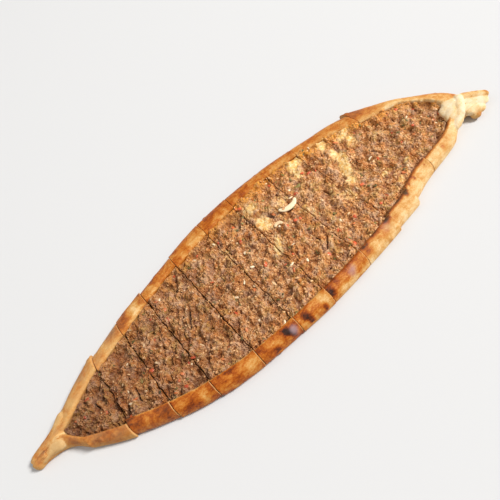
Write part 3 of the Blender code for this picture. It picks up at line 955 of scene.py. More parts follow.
def fold_mesh(fold, sides=FOLD_SIDES):
    """A rounded lobe of dough along its path: points and faces."""
    def drawn(values):
        return smooth_curve(np.array([values]), [FOLD_POINTS_PER_SPAN] * (len(values) - 1))[0]

    line = drawn(fold.path)
    width, height = drawn(tuple(zip(fold.widths, fold.heights))).T
    ahead = np.gradient(line, axis=0)
    ahead /= np.linalg.norm(ahead, axis=1)[:, None]
    travelled = np.concatenate([[0.0], np.cumsum(np.linalg.norm(np.diff(line, axis=0), axis=1))])
    to_end = np.minimum(travelled, travelled[-1] - travelled) / width
    taper = np.sqrt(np.clip(1.0 - (1.0 - np.clip(to_end + FOLD_BLUNTNESS, 0.0, 1.0)) ** 2, 0.0, 1.0))
    sideways = np.stack([-ahead[:, 1], ahead[:, 0], 0.0 * ahead[:, 0]], 1)
    angle = np.linspace(0.0, 2.0 * np.pi, sides, endpoint=False)
    wide = (width * taper)[:, None, None] * np.cos(angle)[None, :, None]
    ring = line[:, None] + sideways[:, None] * wide
    ring[..., 2] += (height * taper)[:, None] * np.sin(angle)[None]
    ids = np.arange(ring[..., 0].size).reshape(ring.shape[:2])
    faces = []
    for row, following in zip(ids, ids[1:]):
        quads = (row, following, np.roll(following, -1), np.roll(row, -1))
        faces += np.stack(quads, 1).tolist()
    faces += [ids[0].tolist(), ids[-1][::-1].tolist()]
    return ring.reshape(-1, 3) + PLAN_SHIFT, faces


def joined_mesh(name, meshes):
    """One mesh made of several, with their named values."""
    shape = bmesh.new()
    for mesh in meshes:
        shape.from_mesh(mesh)
    joined = bpy.data.meshes.new(name)
    shape.to_mesh(joined)
    shape.free()
    return joined


def finder(points):
    """A tree that finds the points near a place."""
    tree = kdtree.KDTree(len(points))
    for number, point in enumerate(points):
        tree.insert(point, number)
    tree.balance()
    return tree


def fused_with_folds(piece, folds, spots, flour):
    """Join the lobes of a tail to its strip as one skin of dough, carrying the notes over."""
    parts = [piece.data]
    for number, fold in enumerate(folds):
        points, faces = fold_mesh(fold)
        full = np.ones(len(points))
        notes = {"bake": full * fold.bake, "ash": full * 0.0, "crumb": full * 0.0,
                 "from_cut": full, "flour": full * flour}
        parts.append(new_piece(f"{piece.name}_fold_{number}", points, faces, notes).data)
    piece.data = joined_mesh(piece.name, parts)
    for part in parts[1:]:
        bpy.data.meshes.remove(part)
    tree = finder([vertex.co for vertex in piece.data.vertices])
    keys = ("bake", "ash", "flour", "crumb", "from_cut")
    notes = {key: read_note(piece.data, key) for key in keys}
    remesh = piece.modifiers.new("one skin", "REMESH")
    remesh.mode = "VOXEL"
    remesh.voxel_size = TAIL_VOXEL
    soften = piece.modifiers.new("soften", "SMOOTH")
    soften.factor = 0.5
    soften.iterations = 3
    kept_mesh(piece)
    place = np.array([vertex.co for vertex in piece.data.vertices])
    nearest = np.array([tree.find(point)[1] for point in place])
    notes = {key: values[nearest] for key, values in notes.items()}
    for x, y, radius, bake in spots:
        off = place[:, :2] - PLAN_SHIFT[:2] - (x, y)
        notes["bake"] = notes["bake"] + bake * np.exp(-(off ** 2).sum(1) / radius ** 2)
    write_notes(piece.data, notes)


# The crusts and their slots, from the left end to the right one.
CRUSTS = ((pale_crust, "crust_pale"), (golden_crust, "crust_golden"), (cream_crust, "crust_cream"))
GOLDEN_FROM = 1
CREAM_FROM = 7

for index in range(len(STRIPS)):
    plan = strip_plan(index, BREAD_STEP)
    block, across = bread_block(index, plan)
    bread = block_piece(f"bread_{index + 1:02d}", block, bread_notes(index, plan, block, across))
    if index in TAILS:
        fused_with_folds(bread, *TAILS[index])
    crust, slot = CRUSTS[(index >= GOLDEN_FROM) + (index >= CREAM_FROM)]
    grown(bread, dough_relief, {"Material": crust})
    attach(bread, "root")
    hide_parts(f"crust_{index + 1:02d}")

# ------------------------------------------------------------------ filling, eleven strips
# Minced meat with onion, pepper and parsley, spread raw in the trough, baked with the bread
# and cut with it.  Each strip is one closed block whose top is broken into cooked grains.

FILLING_STEP = 0.00042
GAP = 0.0003                # clearance between filling and bread
FILLING_BOTTOM = BASE_THICKNESS + GAP
FILLING_EDGE = 0.0093       # height of the filling where it meets the rim
FILLING_CROWN = 0.0102      # height of the filling in the middle
FILLING_LEVELS = 5
FILLING_LEFT_END = -0.2405
FILLING_RIGHT_END = 0.2350
FILLING_INSET = 0.0006      # how far its sides lean in at the bottom
LEAST_FILLING = 0.0004      # how thick it is under the deepest dent
BLUNT_END = 0.012           # its left end thins out over this length
FLAT_EDGE = 0.0020          # the grain is flatter this near to the rims
CUT_CURL = (0.0006, 0.0019)     # least and greatest rounding of the meat beside a cut
CUT_HALF_GAP = 0.0011       # where a cut stands widest open
CUT_LEAST_HALF_GAP = 0.00006
CUT_PUSH_REACH = 0.0022     # how far into the meat a cut pushes it aside
CUT_DRIFT = 0.0008          # how far a cut wanders off its line
CUT_OPEN = (1.0, 1.0, 0.85, 0.80, 0.65, 0.60, 0.48, 0.58, 0.36, 0.34)   # how open each cut stands
FAR_CLIMB = 0.0028          # how far the meat climbs the far rim, and how near to it
FAR_CLIMB_REACH = 0.0050
SPILL = 0.0026              # how far meat and fat have run over the far rim's inner edge
SPILL_HEIGHT = 0.0030
OIL_REACH = 0.0085
DEEPEST_DENT = 0.003
# How much orange fat has run over the far edge of each strip.
OILY_FAR_EDGE = (0.0, 0.2, 0.3, 0.4, 0.5, 0.8, 1.0, 1.0, 1.0, 1.0, 0.8)

# Grooves, pits and slits in the meat: from, to, half-width and depth.
Dent = namedtuple("Dent", "start end reach depth")
DENTS = [Dent(*row) for row in (
    ((-0.0915, 0.0065), (-0.1005, -0.0085), 0.0011, 0.0030),
    ((-0.0810, -0.0375), (-0.0812, -0.0365), 0.0017, 0.0034),
    ((-0.1445, -0.0335), (-0.1432, -0.0350), 0.0015, 0.0030),
    ((-0.0473, 0.0135), (-0.0475, 0.0055), 0.0009, 0.0028),
    ((-0.1710, -0.0160), (-0.1725, -0.0280), 0.0010, 0.0026),
    ((0.0435, -0.0325), (0.0437, -0.0265), 0.0009, 0.0028),
    ((0.0410, -0.0440), (0.0510, -0.0340), 0.0008, 0.0024),
    ((0.1980, -0.0100), (0.1985, -0.0103), 0.0016, 0.0026),
    ((-0.2070, 0.0010), (-0.2060, -0.0080), 0.0009, 0.0020),
    ((0.0870, 0.0060), (0.0890, -0.0020), 0.0008, 0.0020),
    ((-0.0120, -0.0440), (-0.0060, -0.0480), 0.0009, 0.0024),
    ((0.1520, 0.0020), (0.1560, -0.0080), 0.0008, 0.0020),
    ((0.0300, 0.0285), (0.0330, 0.0235), 0.0024, 0.0025),
    ((-0.0240, 0.0330), (-0.0245, 0.0230), 0.0008, 0.0022),
    ((-0.0130, -0.0270), (-0.0150, -0.0330), 0.0008, 0.0020),
)]

# Melted cheese: middle, half-length, half-width, turn in degrees and strength.
Patch = namedtuple("Patch", "x y length width turn strength")
CHEESE = [Patch(*row) for row in (
    (0.0200, 0.0230, 0.0090, 0.0065, 80.0, 0.95),
    (0.0125, -0.0065, 0.0105, 0.0042, 50.0, 0.72),
    (0.0225, 0.0485, 0.0075, 0.0065, 0.0, 0.85),
    (0.0900, 0.0530, 0.0095, 0.0055, 20.0, 1.0),
    (0.0840, 0.0410, 0.0050, 0.0040, 60.0, 0.9),
    (0.1260, 0.0485, 0.0080, 0.0050, 60.0, 0.9),
    (0.1275, 0.0260, 0.0090, 0.0055, 105.0, 1.0),
    (0.1205, 0.0090, 0.0120, 0.0055, 68.0, 1.0),
    (0.1125, -0.0070, 0.0050, 0.0042, 30.0, 1.0),
    (0.1500, 0.0290, 0.0075, 0.0048, 40.0, 0.85),
    (0.1480, 0.0400, 0.0090, 0.0040, 10.0, 0.80),
    (0.1380, -0.0265, 0.0035, 0.0025, 10.0, 0.85),
    (0.1635, -0.0325, 0.0035, 0.0025, 10.0, 0.8),
    (0.1425, -0.0430, 0.0040, 0.0025, 20.0, 0.8),
    (0.0495, 0.0290, 0.0065, 0.0040, 20.0, 0.75),
    (0.0600, 0.0010, 0.0110, 0.0050, 100.0, 0.50),
    (0.0980, -0.0150, 0.0120, 0.0050, 110.0, 0.48),
    (-0.0280, 0.0260, 0.0060, 0.0035, 60.0, 0.50),
    (0.1750, 0.0120, 0.0080, 0.0035, 150.0, 0.50),
)]


def dented(flat):
    """How deep the meat is dented at each place in plan."""
    dent = np.zeros(flat.shape[:-1])
    for mark in DENTS:
        start, line = np.array(mark.start), np.array(mark.end) - np.array(mark.start)
        along = np.clip(((flat - start) @ line) / (line @ line), 0.0, 1.0)
        off = np.linalg.norm(flat - start - along[..., None] * line, axis=-1)
        dent = np.maximum(dent, np.exp(-(off / mark.reach) ** 2) * mark.depth)
    return dent


def cheesy(flat):
    """How much melted cheese lies at each place in plan."""
    cheese = np.zeros(flat.shape[:-1])
    for patch in CHEESE:
        c, s = math.cos(math.radians(patch.turn)), math.sin(math.radians(patch.turn))
        off = flat - (patch.x, patch.y)
        u = (off[..., 0] * c + off[..., 1] * s) / patch.length
        v = (-off[..., 0] * s + off[..., 1] * c) / patch.width
        cheese = np.maximum(cheese, patch.strength * smooth_step((1.9 - np.hypot(u, v)) / 1.5))
    return cheese


def filling_block(index):
    """The block of points of one strip of filling, with its notes."""
    plan = strip_plan(index, FILLING_STEP)
    kept = (plan.x > FILLING_LEFT_END) & (plan.x < FILLING_RIGHT_END)
    plan = Station(*(row[kept] for row in plan))
    lean = WALL_LEAN * 0.25
    near_edge = plan.near_rim + lean - plan.near
    far_edge = plan.far - plan.far_rim - lean
    wide = far_edge - near_edge
    count = int(np.percentile(wide, 60) / FILLING_STEP)
    shares = np.linspace(0.0, 1.0, count)
    across = near_edge[:, None] + wide[:, None] * shares
    from_far = far_edge[:, None] - across
    from_near = across - near_edge[:, None]
    relief = np.ones_like(across)
    relief *= 0.35 + 0.65 * smooth_step(np.minimum(from_near, from_far) / FLAT_EDGE)
    fullness = np.ones_like(plan.x)
    if index == 0:
        fullness = 0.75 + 0.25 * smooth_step((plan.x - FILLING_LEFT_END) / BLUNT_END)
        relief *= smooth_step((plan.x - plan.x[0]) / 0.003)[:, None]
    edge = FILLING_BOTTOM + (FILLING_EDGE - FILLING_BOTTOM) * (0.35 + 0.65 * fullness)
    bulge = 1.0 - (2.0 * shares - 1.0) ** 4
    top = edge[:, None] + (FILLING_CROWN - FILLING_EDGE) * fullness[:, None] * bulge[None]
    climb = FAR_CLIMB * (0.4 + 1.1 * loose_line(300, plan.x * 0.3, 0.0011, 0.0, 1.0))[:, None]
    top += climb * np.exp(-(from_far / FAR_CLIMB_REACH) ** 2)
    spill = loose_line(320, plan.x * 0.3, 0.0013, -0.5, 1.0) * OILY_FAR_EDGE[index]
    spill = np.clip(spill, 0.0, 1.0)[:, None]
    far_lip = np.exp(-(from_far / SPILL) ** 2)
    top += spill * far_lip * SPILL_HEIGHT
    shift = np.zeros_like(top)
    for cut, inside, away in cuts_beside(index, plan):
        away = away[:, None]
        seed = cut * 2 + (inside > 0)
        drift = loose_line(400 + cut, across, 0.0046, -CUT_DRIFT, CUT_DRIFT)
        most = CUT_HALF_GAP * CUT_OPEN[cut]
        half_gap = loose_line(500 + seed, across, 0.0032, most * 0.05, most)
        half_gap = half_gap + loose_line(600 + seed, across, 0.0010, -0.0002, 0.0003)
        half_gap = np.maximum(half_gap, CUT_LEAST_HALF_GAP)
        wanted = inside * (half_gap - KNIFE_GAP / 2.0) + drift
        shift += wanted * np.exp(-(away / CUT_PUSH_REACH) ** 2)
        curl = loose_line(700 + seed, across, 0.0028, *CUT_CURL) * (0.5 + 0.5 * CUT_OPEN[cut])
        short = np.clip(curl - away, 0.0, None)
        top -= 0.9 * (curl - np.sqrt(curl ** 2 - short ** 2))
        relief *= 0.45 + 0.55 * smooth_step(away / 0.0012)
    place = placed(plan, across + spill * SPILL * far_lip, top) + pushed_along(plan, shift)
    flat = place[..., :2] - PLAN_SHIFT[:2]
    dent = dented(flat)
    place[..., 2] = np.maximum(place[..., 2] - dent, FILLING_BOTTOM + LEAST_FILLING)
    oil = np.exp(-(from_far / OIL_REACH) ** 2) * OILY_FAR_EDGE[index]
    inset = FILLING_INSET * (1.0 - 2.0 * shares)[None]
    base = placed(plan, across + inset, np.full_like(top, FILLING_BOTTOM))
    rise = np.linspace(0.0, 1.0, FILLING_LEVELS)[:, None]
    block = base[:, :, None] + (place - base)[:, :, None] * rise
    notes = {"relief": relief, "cheese": cheesy(flat), "dent": dent / DEEPEST_DENT, "oil": oil}
    notes = {key: np.repeat(value[:, :, None], FILLING_LEVELS, 2) for key, value in notes.items()}
    notes["relief"][:, :, :-1] = 0.0
    return block, notes


def summed(tree, *weighted):
    """The sum of values, each given with its weight."""
    total = calc(tree, "MULTIPLY", *weighted[0])
    for value, weight in weighted[1:]:
        total = calc(tree, "MULTIPLY_ADD", value, weight, total)
    return total


def wandering(tree, place, scale, detail, roughness, reach):
    """A push to and fro that changes from place to place."""
    inputs = {"Vector": place, "Scale": scale, "Detail": detail, "Roughness": roughness}
    colour = add_node(tree, "ShaderNodeTexNoise", inputs).outputs["Color"]
    return vector_calc(tree, "SCALE", vector_calc(tree, "ADD", colour, (-0.5, -0.5, -0.5)), reach)


def curls(tree, place, scale):
    """Thin winding worms of meat: 1 along them, 0 between."""
    away = calc(tree, "ABSOLUTE", swing(tree, place, scale, 1.0, 0.5))
    return ramped(tree, away, 0.0, 0.085, 1.0, 0.0)


def grains(tree, place, cheese):
    """The broken surface of cooked mince, pressed worms and grains run together: its height
    from 0 to 1, how far each place is out of the crevices (which the colour uses for painted
    shade and highlight), two random values, and how far it is covered with melted cheese.
    The same nodes serve its shape and its colour."""
    flat = vector_calc(tree, "MULTIPLY", place, (1.0, 1.0, 0.0))
    bent = vector_calc(tree, "ADD", flat, wandering(tree, flat, 230.0, 3.0, 0.6, 0.0050))
    coarse = cells(tree, bent, 300.0)
    domes = ramped(tree, coarse["Distance"], 0.05, 0.72, 1.0, 0.0)
    wide, fine = curls(tree, bent, 250.0), curls(tree, bent, 480.0)
    clumps = ramped(tree, noise(tree, flat, 120.0, 4.0, 0.6), 0.30, 0.70)
    hollow = ramped(tree, noise(tree, bent, 165.0, 3.0, 0.6), 0.27, 0.38, 0.70, 0.0)
    height = summed(tree, (domes, 0.22), (wide, 0.30), (fine, 0.18), (clumps, 0.38))
    height = calc(tree, "SUBTRACT", height, hollow)
    out_of_shade = summed(tree, (wide, 0.45), (domes, 0.30), (fine, 0.25))
    out_of_shade = calc(tree, "SUBTRACT", out_of_shade, hollow)
    thready = swing(tree, bent, 210.0, 4.0, 0.65, 0.5)
    melted = ramped(tree, calc(tree, "MULTIPLY_ADD", thready, 2.3, cheese), 0.12, 1.00)
    first = add_node(tree, "ShaderNodeSeparateXYZ", {"Vector": coarse["Color"]}).outputs["X"]
    return height, out_of_shade, first, noise(tree, bent, 420.0, 2.0, 0.6), melted


def ridges(tree, place):
    """Long low folds that the spoon left in the meat, slanting across the pide, and the soft
    lumps between them: 0 to 1."""
    loose = vector_calc(tree, "ADD", place, wandering(tree, place, 38.0, 2.0, 0.5, 0.016))
    turned = add_node(tree, "ShaderNodeVectorRotate", {
        "Vector": loose, "Angle": math.radians(-58.0)}, rotation_type="Z_AXIS")
    drawn = vector_calc(tree, "MULTIPLY", turned.outputs["Vector"], (0.50, 1.0, 0.0))
    lumps = ramped(tree, cells(tree, loose, 135.0, 0.7)["Distance"], 0.10, 0.70, 1.0, 0.0)
    folds = calc(tree, "SUBTRACT", noise(tree, drawn, 105.0, 3.0, 0.5), 0.11)
    return calc(tree, "MULTIPLY_ADD", lumps, 0.22, folds)


def less(tree, value, cause, share):
    """A value made less where a cause acts, by this share of it."""
    return calc(tree, "MULTIPLY", value, calc(tree, "MULTIPLY_ADD", cause, -share, 1.0))


def along_pide(tree, place):
    """How far along the pide a place is, from its middle."""
    return add_node(tree, "ShaderNodeSeparateXYZ", {"Vector": place}).outputs["X"]


def make_mince_relief():
    """Grains, clumps and hollows on the top of the meat; melted cheese lies smoother."""
    group, given, result = new_group("mince relief", "GeometryNodeTree", {
        "Geometry": "Geometry", "Depth": 0.0028, "Ridges": 0.0130, "Swell": 0.0075,
        "Middle": 0.50, "Cheese Lift": 0.0005, "Material": "Material",
    }, ("Geometry", "Geometry"))
    place = group.nodes.new("GeometryNodeInputPosition").outputs["Position"]
    height, _, _, _, melted = grains(group, place, stored(group, "cheese"))
    height = calc(group, "SUBTRACT", height, given["Middle"])
    height = calc(group, "MULTIPLY_ADD", swing(group, place, 1300.0, 2.0, 0.6), 0.12, height)
    folds = calc(group, "SUBTRACT", ridges(group, place), 0.5)
    swell = calc(group, "MULTIPLY", swing(group, place, 55.0, 2.0, 0.5), given["Swell"])
    swell = calc(group, "MULTIPLY_ADD", folds, given["Ridges"], swell)
    lift = calc(group, "MULTIPLY", height, given["Depth"])
    lift = less(group, lift, melted, 0.92)
    lift = less(group, lift, stored(group, "oil"), 0.45)
    lift = calc(group, "MULTIPLY_ADD", melted, given["Cheese Lift"], lift)
    lift = calc(group, "ADD", less(group, swell, melted, 0.5), lift)
    rough = ramped(group, along_pide(group, place), -0.25, 0.14, 1.25, 0.88)
    lift = calc(group, "MULTIPLY", lift, calc(group, "MULTIPLY", stored(group, "relief"), rough))
    up = add_node(group, "ShaderNodeCombineXYZ", {"Z": lift}).outputs["Vector"]
    pushed_and_painted(group, given, up, result)
    return group


MINCE_COLOURS = (
    (0.00, (136, 74, 28)),
    (0.25, (178, 110, 54)),
    (0.42, (206, 140, 78)),
    (0.58, (226, 166, 106)),
    (0.75, (244, 196, 144)),
    (0.90, (252, 220, 180)),
    (1.00, (255, 236, 204)),
)


# Uneven patches on the meat: scale, distortion, where each starts and is full, its strength and
# its colour.  They are rust, olive and grey.
MINCE_PATCHES = (
    (62.0, 0.0, 0.44, 0.60, 0.55, (212, 126, 48)),
    (95.0, 0.4, 0.48, 0.64, 0.56, (184, 150, 76)),
    (110.0, 0.3, 0.48, 0.62, 0.62, (222, 182, 148)),
)
FAT_COLOUR = srgb((234, 156, 54))
# Painted shade: the meat's colours in its crevices, in the low ground between its folds, and in its dents.
CREVICE_SHADE_COLOUR = srgb((110, 48, 10))
FOLD_SHADE_COLOUR = srgb((122, 60, 20))
DENT_SHADE_COLOUR = srgb((64, 34, 16))
CHEESE_COLOUR = srgb((234, 182, 92))
PALE_CHEESE_COLOUR = srgb((252, 226, 166))
# Painted shade on melted cheese in its crevices.
CHEESE_CREVICE_SHADE_COLOUR = srgb((190, 122, 58))


def make_tone_and_shade():
    """What the colour of meat and flecks is multiplied by along the pide: darker and browner
    towards its left end, partly a browner tone and partly painted shade for weaker light there,
    and a little darker at both tips."""
    group, given, result = new_group("tone and painted shade", "ShaderNodeTree", {
        "Colour": WHITE, "Place": "Vector",
        "Left": (0.535, 0.470, 0.430, 1.0), "Right": (1.085, 1.100, 1.095, 1.0),
    }, ("Colour", "Color"))
    along = along_pide(group, given["Place"])
    tone = mixed(group, ramped(group, along, -0.27, 0.12), given["Left"], given["Right"])
    tinted = mixed(group, 1.0, given["Colour"], tone, "MULTIPLY")
    end = calc(group, "MULTIPLY", ramped(group, along, 0.165, 0.215, 1.0, 0.96),
               ramped(group, along, -0.225, -0.185, 0.88, 1.0))
    group.links.new(vector_calc(group, "SCALE", tinted, end), result)
    return group


# Painted shade along the pide, darker towards its left end, with the meat's browner tone there.
tone_and_shade = make_tone_and_shade()


def toned_and_shaded(tree, colour, place):
    """A colour toned and shaded by the tone and painted shade group."""
    inputs = {"Colour": colour, "Place": place}
    return add_node(tree, "ShaderNodeGroup", inputs, node_tree=tone_and_shade).outputs["Colour"]


def make_mince(name):
    """Cooked mince: pinkish tan, paler on its raised curls as a painted highlight and browner in its
    crevices, folds and dents as painted shade, with melted cheese.
    """
    material, tree, surface = new_material(name)
    place = add_node(tree, "ShaderNodeTexCoord").outputs["Object"]
    height, out_of_shade, first, second, melted = grains(tree, place, noted(tree, "cheese"))
    inner = noise(tree, place, 2000.0, 3.0, 0.6)
    pick = calc(tree, "MULTIPLY_ADD", first, 0.24, calc(tree, "MULTIPLY", second, 0.95))
    # Places out of the crevices pick paler colours: a painted highlight on the raised curls.
    pick = calc(tree, "MULTIPLY_ADD", out_of_shade, 0.26, pick)
    pick = calc(tree, "ADD", pick, calc(tree, "MULTIPLY_ADD", inner, 0.6, -0.48))
    colour = colour_ramp(tree, pick, MINCE_COLOURS)
    for scale, distortion, start, full, strength, tint in MINCE_PATCHES:
        patch = noise(tree, place, scale, 3.0, 0.6, distortion)
        colour = mixed(tree, ramped(tree, patch, start, full, 0.0, strength), colour, srgb(tint))
    oily = ramped(tree, noise(tree, place, 200.0, 3.0, 0.6), 0.34, 0.54, 0.50, 1.0)
    colour = mixed(tree, calc(tree, "MULTIPLY", oily, noted(tree, "oil")), colour, FAT_COLOUR)
    # Painted shade: darker in the crevices, in the low ground between the folds, and in the dents.
    for share, tint in (
        (ramped(tree, out_of_shade, -0.05, 0.30, 0.80, 0.0), CREVICE_SHADE_COLOUR),
        (ramped(tree, ridges(tree, place), 0.32, 0.54, 0.48, 0.0), FOLD_SHADE_COLOUR),
        (ramped(tree, noted(tree, "dent"), 0.15, 0.9, 0.0, 0.85), DENT_SHADE_COLOUR),
    ):
        colour = mixed(tree, share, colour, tint)
    toasted = ramped(tree, noise(tree, place, 300.0, 3.0, 0.6), 0.38, 0.62)
    cheese = mixed(tree, toasted, CHEESE_COLOUR, PALE_CHEESE_COLOUR)
    # Painted shade on the cheese in its crevices.
    cheese = mixed(tree, ramped(tree, out_of_shade, 0.05, 0.5, 0.16, 0.0), cheese, CHEESE_CREVICE_SHADE_COLOUR)
    colour = mixed(tree, calc(tree, "MULTIPLY", melted, 0.77), colour, cheese)
    tree.links.new(toned_and_shaded(tree, colour, place), surface.inputs["Base Color"])
    wet = ramped(tree, inner, 0.35, 0.65, 0.32, 0.70)
    tree.links.new(wet, surface.inputs["Roughness"])
    surface.inputs["Specular IOR Level"].default_value = 0.45
    grain = calc(tree, "MULTIPLY_ADD", height, 1.6, calc(tree, "MULTIPLY", inner, 0.7))
    bumped(tree, surface, less(tree, grain, melted, 0.75), 0.8, 0.0008)
    return material


mince_relief = make_mince_relief()
mince = make_mince("cooked mince")
fillings = []
for index in range(len(STRIPS)):
    filling = block_piece(f"filling_{index + 1:02d}", *filling_block(index), with_underside=False)
    grown(filling, mince_relief, {"Material": mince})
    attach(filling, "root")
    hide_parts(f"mince_{index + 1:02d}")
    fillings.append(filling)

# ------------------------------------------------------------------ crumbs, pepper, herbs, onion
# Loose grains of meat, chopped red pepper, parsley and onion lie on the filling and stick
# to it.  Each kind is sprinkled over the tops of the strips and is one piece.

FLECK_ROUNDNESS = 2         # subdivisions of one grain
TOP_SLOPE = 0.45            # least upward part of the normal of a face that can hold them
TOP_LEVEL = FILLING_EDGE - 0.002


def filling_tops():
    """One mesh of the filling's top faces: what is sprinkled lies on it."""
    points, faces, bare, start = [], [], [], 0
    for filling in fillings:
        mesh = filling.data
        place = np.empty(len(mesh.vertices) * 3, np.float32)
        mesh.vertices.foreach_get("co", place)
        points.append(place.reshape(-1, 3))
        bare.append(1.0 - smooth_step(read_note(mesh, "cheese") / 0.7))
        for face in mesh.polygons:
            level = face.normal.z > TOP_SLOPE and face.center.z > TOP_LEVEL
            if level and len(face.vertices) == 4:
                faces.append([v + start for v in face.vertices])
        start += len(mesh.vertices)
    return np.concatenate(points), faces, {"bare": np.concatenate(bare)}


def make_sprinkle():
    """Grains sprinkled on a surface: each its own size, turn and lumpy shape, with a random
    value "shade" for its colour."""
    group, given, result = new_group("sprinkle", "GeometryNodeTree", {
        "Geometry": "Geometry", "Density": 1000.0, "Seed": 1,
        "Least Size": (0.0005, 0.0005, 0.0003), "Greatest Size": (0.0012, 0.0010, 0.0006),
        "Tilt": 0.4, "Raise": 0.0, "Lumpiness": 0.0006, "Lump Scale": 700.0, "Material": "Material",
    }, ("Geometry", "Geometry"))

    def drawn(kind, low, high, offset):
        """A random value of each grain; the node's sockets stand in another place for each kind."""
        first, second, out = {"FLOAT_VECTOR": (0, 1, 0), "FLOAT": (2, 3, 1)}[kind]
        inputs = {"Seed": calc(group, "ADD", given["Seed"], float(offset)), first: low, second: high}
        return add_node(group, "FunctionNodeRandomValue", inputs, data_type=kind).outputs[out]

    scattered = add_node(group, "GeometryNodeDistributePointsOnFaces", {
        "Mesh": given["Geometry"], "Seed": given["Seed"],
        "Density": calc(group, "MULTIPLY", stored(group, "bare"), given["Density"])})
    shade = add_node(group, "GeometryNodeStoreNamedAttribute", {
        "Geometry": scattered.outputs["Points"], "Name": "shade",
        "Value": drawn("FLOAT", 0.0, 1.0, 1)}, data_type="FLOAT", domain="POINT")
    grain = add_node(group, "GeometryNodeMeshIcoSphere", {"Radius": 1.0, "Subdivisions": FLECK_ROUNDNESS})
    lean = calc(group, "MULTIPLY", given["Tilt"], -1.0)
    turn = add_node(group, "ShaderNodeCombineXYZ", {
        "X": drawn("FLOAT", lean, given["Tilt"], 2), "Y": drawn("FLOAT", lean, given["Tilt"], 3),
        "Z": drawn("FLOAT", 0.0, 2.0 * math.pi, 4)})
    laid = add_node(group, "GeometryNodeInstanceOnPoints", {
        "Points": shade.outputs["Geometry"], "Instance": grain.outputs["Mesh"],
        "Rotation": turn.outputs["Vector"],
        "Scale": drawn("FLOAT_VECTOR", given["Least Size"], given["Greatest Size"], 5)})
    real = add_node(group, "GeometryNodeRealizeInstances", {"Geometry": laid.outputs["Instances"]})
    place = group.nodes.new("GeometryNodeInputPosition").outputs["Position"]
    lumps = wandering(group, place, given["Lump Scale"], 2.0, 0.5, given["Lumpiness"])
    raised = add_node(group, "ShaderNodeCombineXYZ", {"Z": given["Raise"]}).outputs["Vector"]
    moved = add_node(group, "GeometryNodeSetPosition", {
        "Geometry": real.outputs["Geometry"], "Offset": vector_calc(group, "ADD", lumps, raised)})
    smooth = add_node(group, "GeometryNodeSetShadeSmooth", {"Geometry": moved.outputs["Geometry"]})
    painted = add_node(group, "GeometryNodeSetMaterial", {
        "Geometry": smooth.outputs["Geometry"], "Material": given["Material"]})
    group.links.new(painted.outputs["Geometry"], result)
    return group


def make_fleck(name, colours, roughness, weight, vein_scale):
    """A small soft piece of food: its three colours, from dark to pale, by its own shade and
    the veins in it."""
    material, tree, surface = new_material(name)
    place = add_node(tree, "ShaderNodeTexCoord").outputs["Object"]
    veins = noise(tree, place, vein_scale, 3.0, 0.6)
    pick = calc(tree, "MULTIPLY_ADD", veins, weight, noted(tree, "shade"))
    pick = calc(tree, "SUBTRACT", pick, weight * 0.5, clamp=True)
    colour = colour_ramp(tree, pick, tuple(zip((0.0, 0.5, 1.0), colours)))
    tree.links.new(toned_and_shaded(tree, colour, place), surface.inputs["Base Color"])
    dull = ramped(tree, veins, 0.3, 0.7, roughness - 0.1, roughness + 0.15)
    tree.links.new(dull, surface.inputs["Roughness"])
    surface.inputs["Specular IOR Level"].default_value = 0.45
    bumped(tree, surface, veins, 0.6, 0.0004)
    return material


sprinkle = make_sprinkle()
top_points, top_faces, top_notes = filling_tops()

# Larger bits, each laid where it lies: its line in plan, half-widths, half-height, how far its
# middle stands above the meat, and its shade.
Bit = namedtuple("Bit", "line widths thick raise_by shade")
LAID_BITS = {
    "onion_bits": (
        Bit(((0.0400, 0.0225), (0.0445, 0.0180), (0.0505, 0.0165), (0.0565, 0.0172), (0.0610, 0.0210)),
            (0.0014, 0.0026, 0.0031, 0.0026, 0.0014), 0.0011, 0.0014, 0.90),
        Bit(((0.0245, 0.0100), (0.0275, 0.0120), (0.0315, 0.0105), (0.0325, 0.0065)),
            (0.0012, 0.0019, 0.0018, 0.0012), 0.0008, 0.0011, 0.66),
        Bit(((-0.0160, 0.0120), (-0.0128, 0.0130)), (0.0016, 0.0015), 0.0008, 0.0006, 0.95),
        Bit(((0.0270, 0.0075), (0.0290, 0.0085)), (0.0012, 0.0012), 0.0007, 0.0006, 0.9),
    ),
    "pepper_flecks": (
        Bit(((-0.1365, -0.0470), (-0.1330, -0.0490)), (0.0018, 0.0016), 0.0007, 0.0007, 0.30),
        Bit(((0.1125, -0.0185), (0.1170, -0.0195)), (0.0015, 0.0014), 0.0006, 0.0006, 0.55),
        Bit(((0.1080, -0.0470), (0.1110, -0.0480)), (0.0014, 0.0013), 0.0006, 0.0006, 0.40),
        Bit(((-0.0610, -0.0260), (-0.0600, -0.0300)), (0.0011, 0.0010), 0.0005, 0.0005, 0.35),
        Bit(((-0.2120, 0.0065), (-0.2080, 0.0085)), (0.0016, 0.0013), 0.0006, 0.0005, 0.45),
        Bit(((0.0860, 0.0390), (0.0890, 0.0370)), (0.0014, 0.0012), 0.0006, 0.0006, 0.45),
    ),
    "herb_flecks": (
        Bit(((0.0700, 0.0310), (0.0740, 0.0300), (0.0770, 0.0315)),
            (0.0013, 0.0018, 0.0012), 0.0006, 0.0008, 0.75),
        Bit(((0.0505, 0.0128), (0.0530, 0.0135)), (0.0012, 0.0010), 0.0005, 0.0007, 0.60),
        Bit(((0.1198, -0.0285), (0.1215, -0.0305), (0.1232, -0.0290)),
            (0.0007, 0.0009, 0.0007), 0.0005, 0.0007, 0.20),
        Bit(((-0.1435, -0.0430), (-0.1412, -0.0428)), (0.0011, 0.0011), 0.0005, 0.0006, 0.60),
        Bit(((-0.0190, -0.0460), (-0.0178, -0.0475)), (0.0010, 0.0010), 0.0005, 0.0006, 0.15),
    ),
}
BIT_SIDES = 14
BIT_REST = 0.0014           # a bit rests on the highest points this near to its line
BIT_REST_POINTS = 12
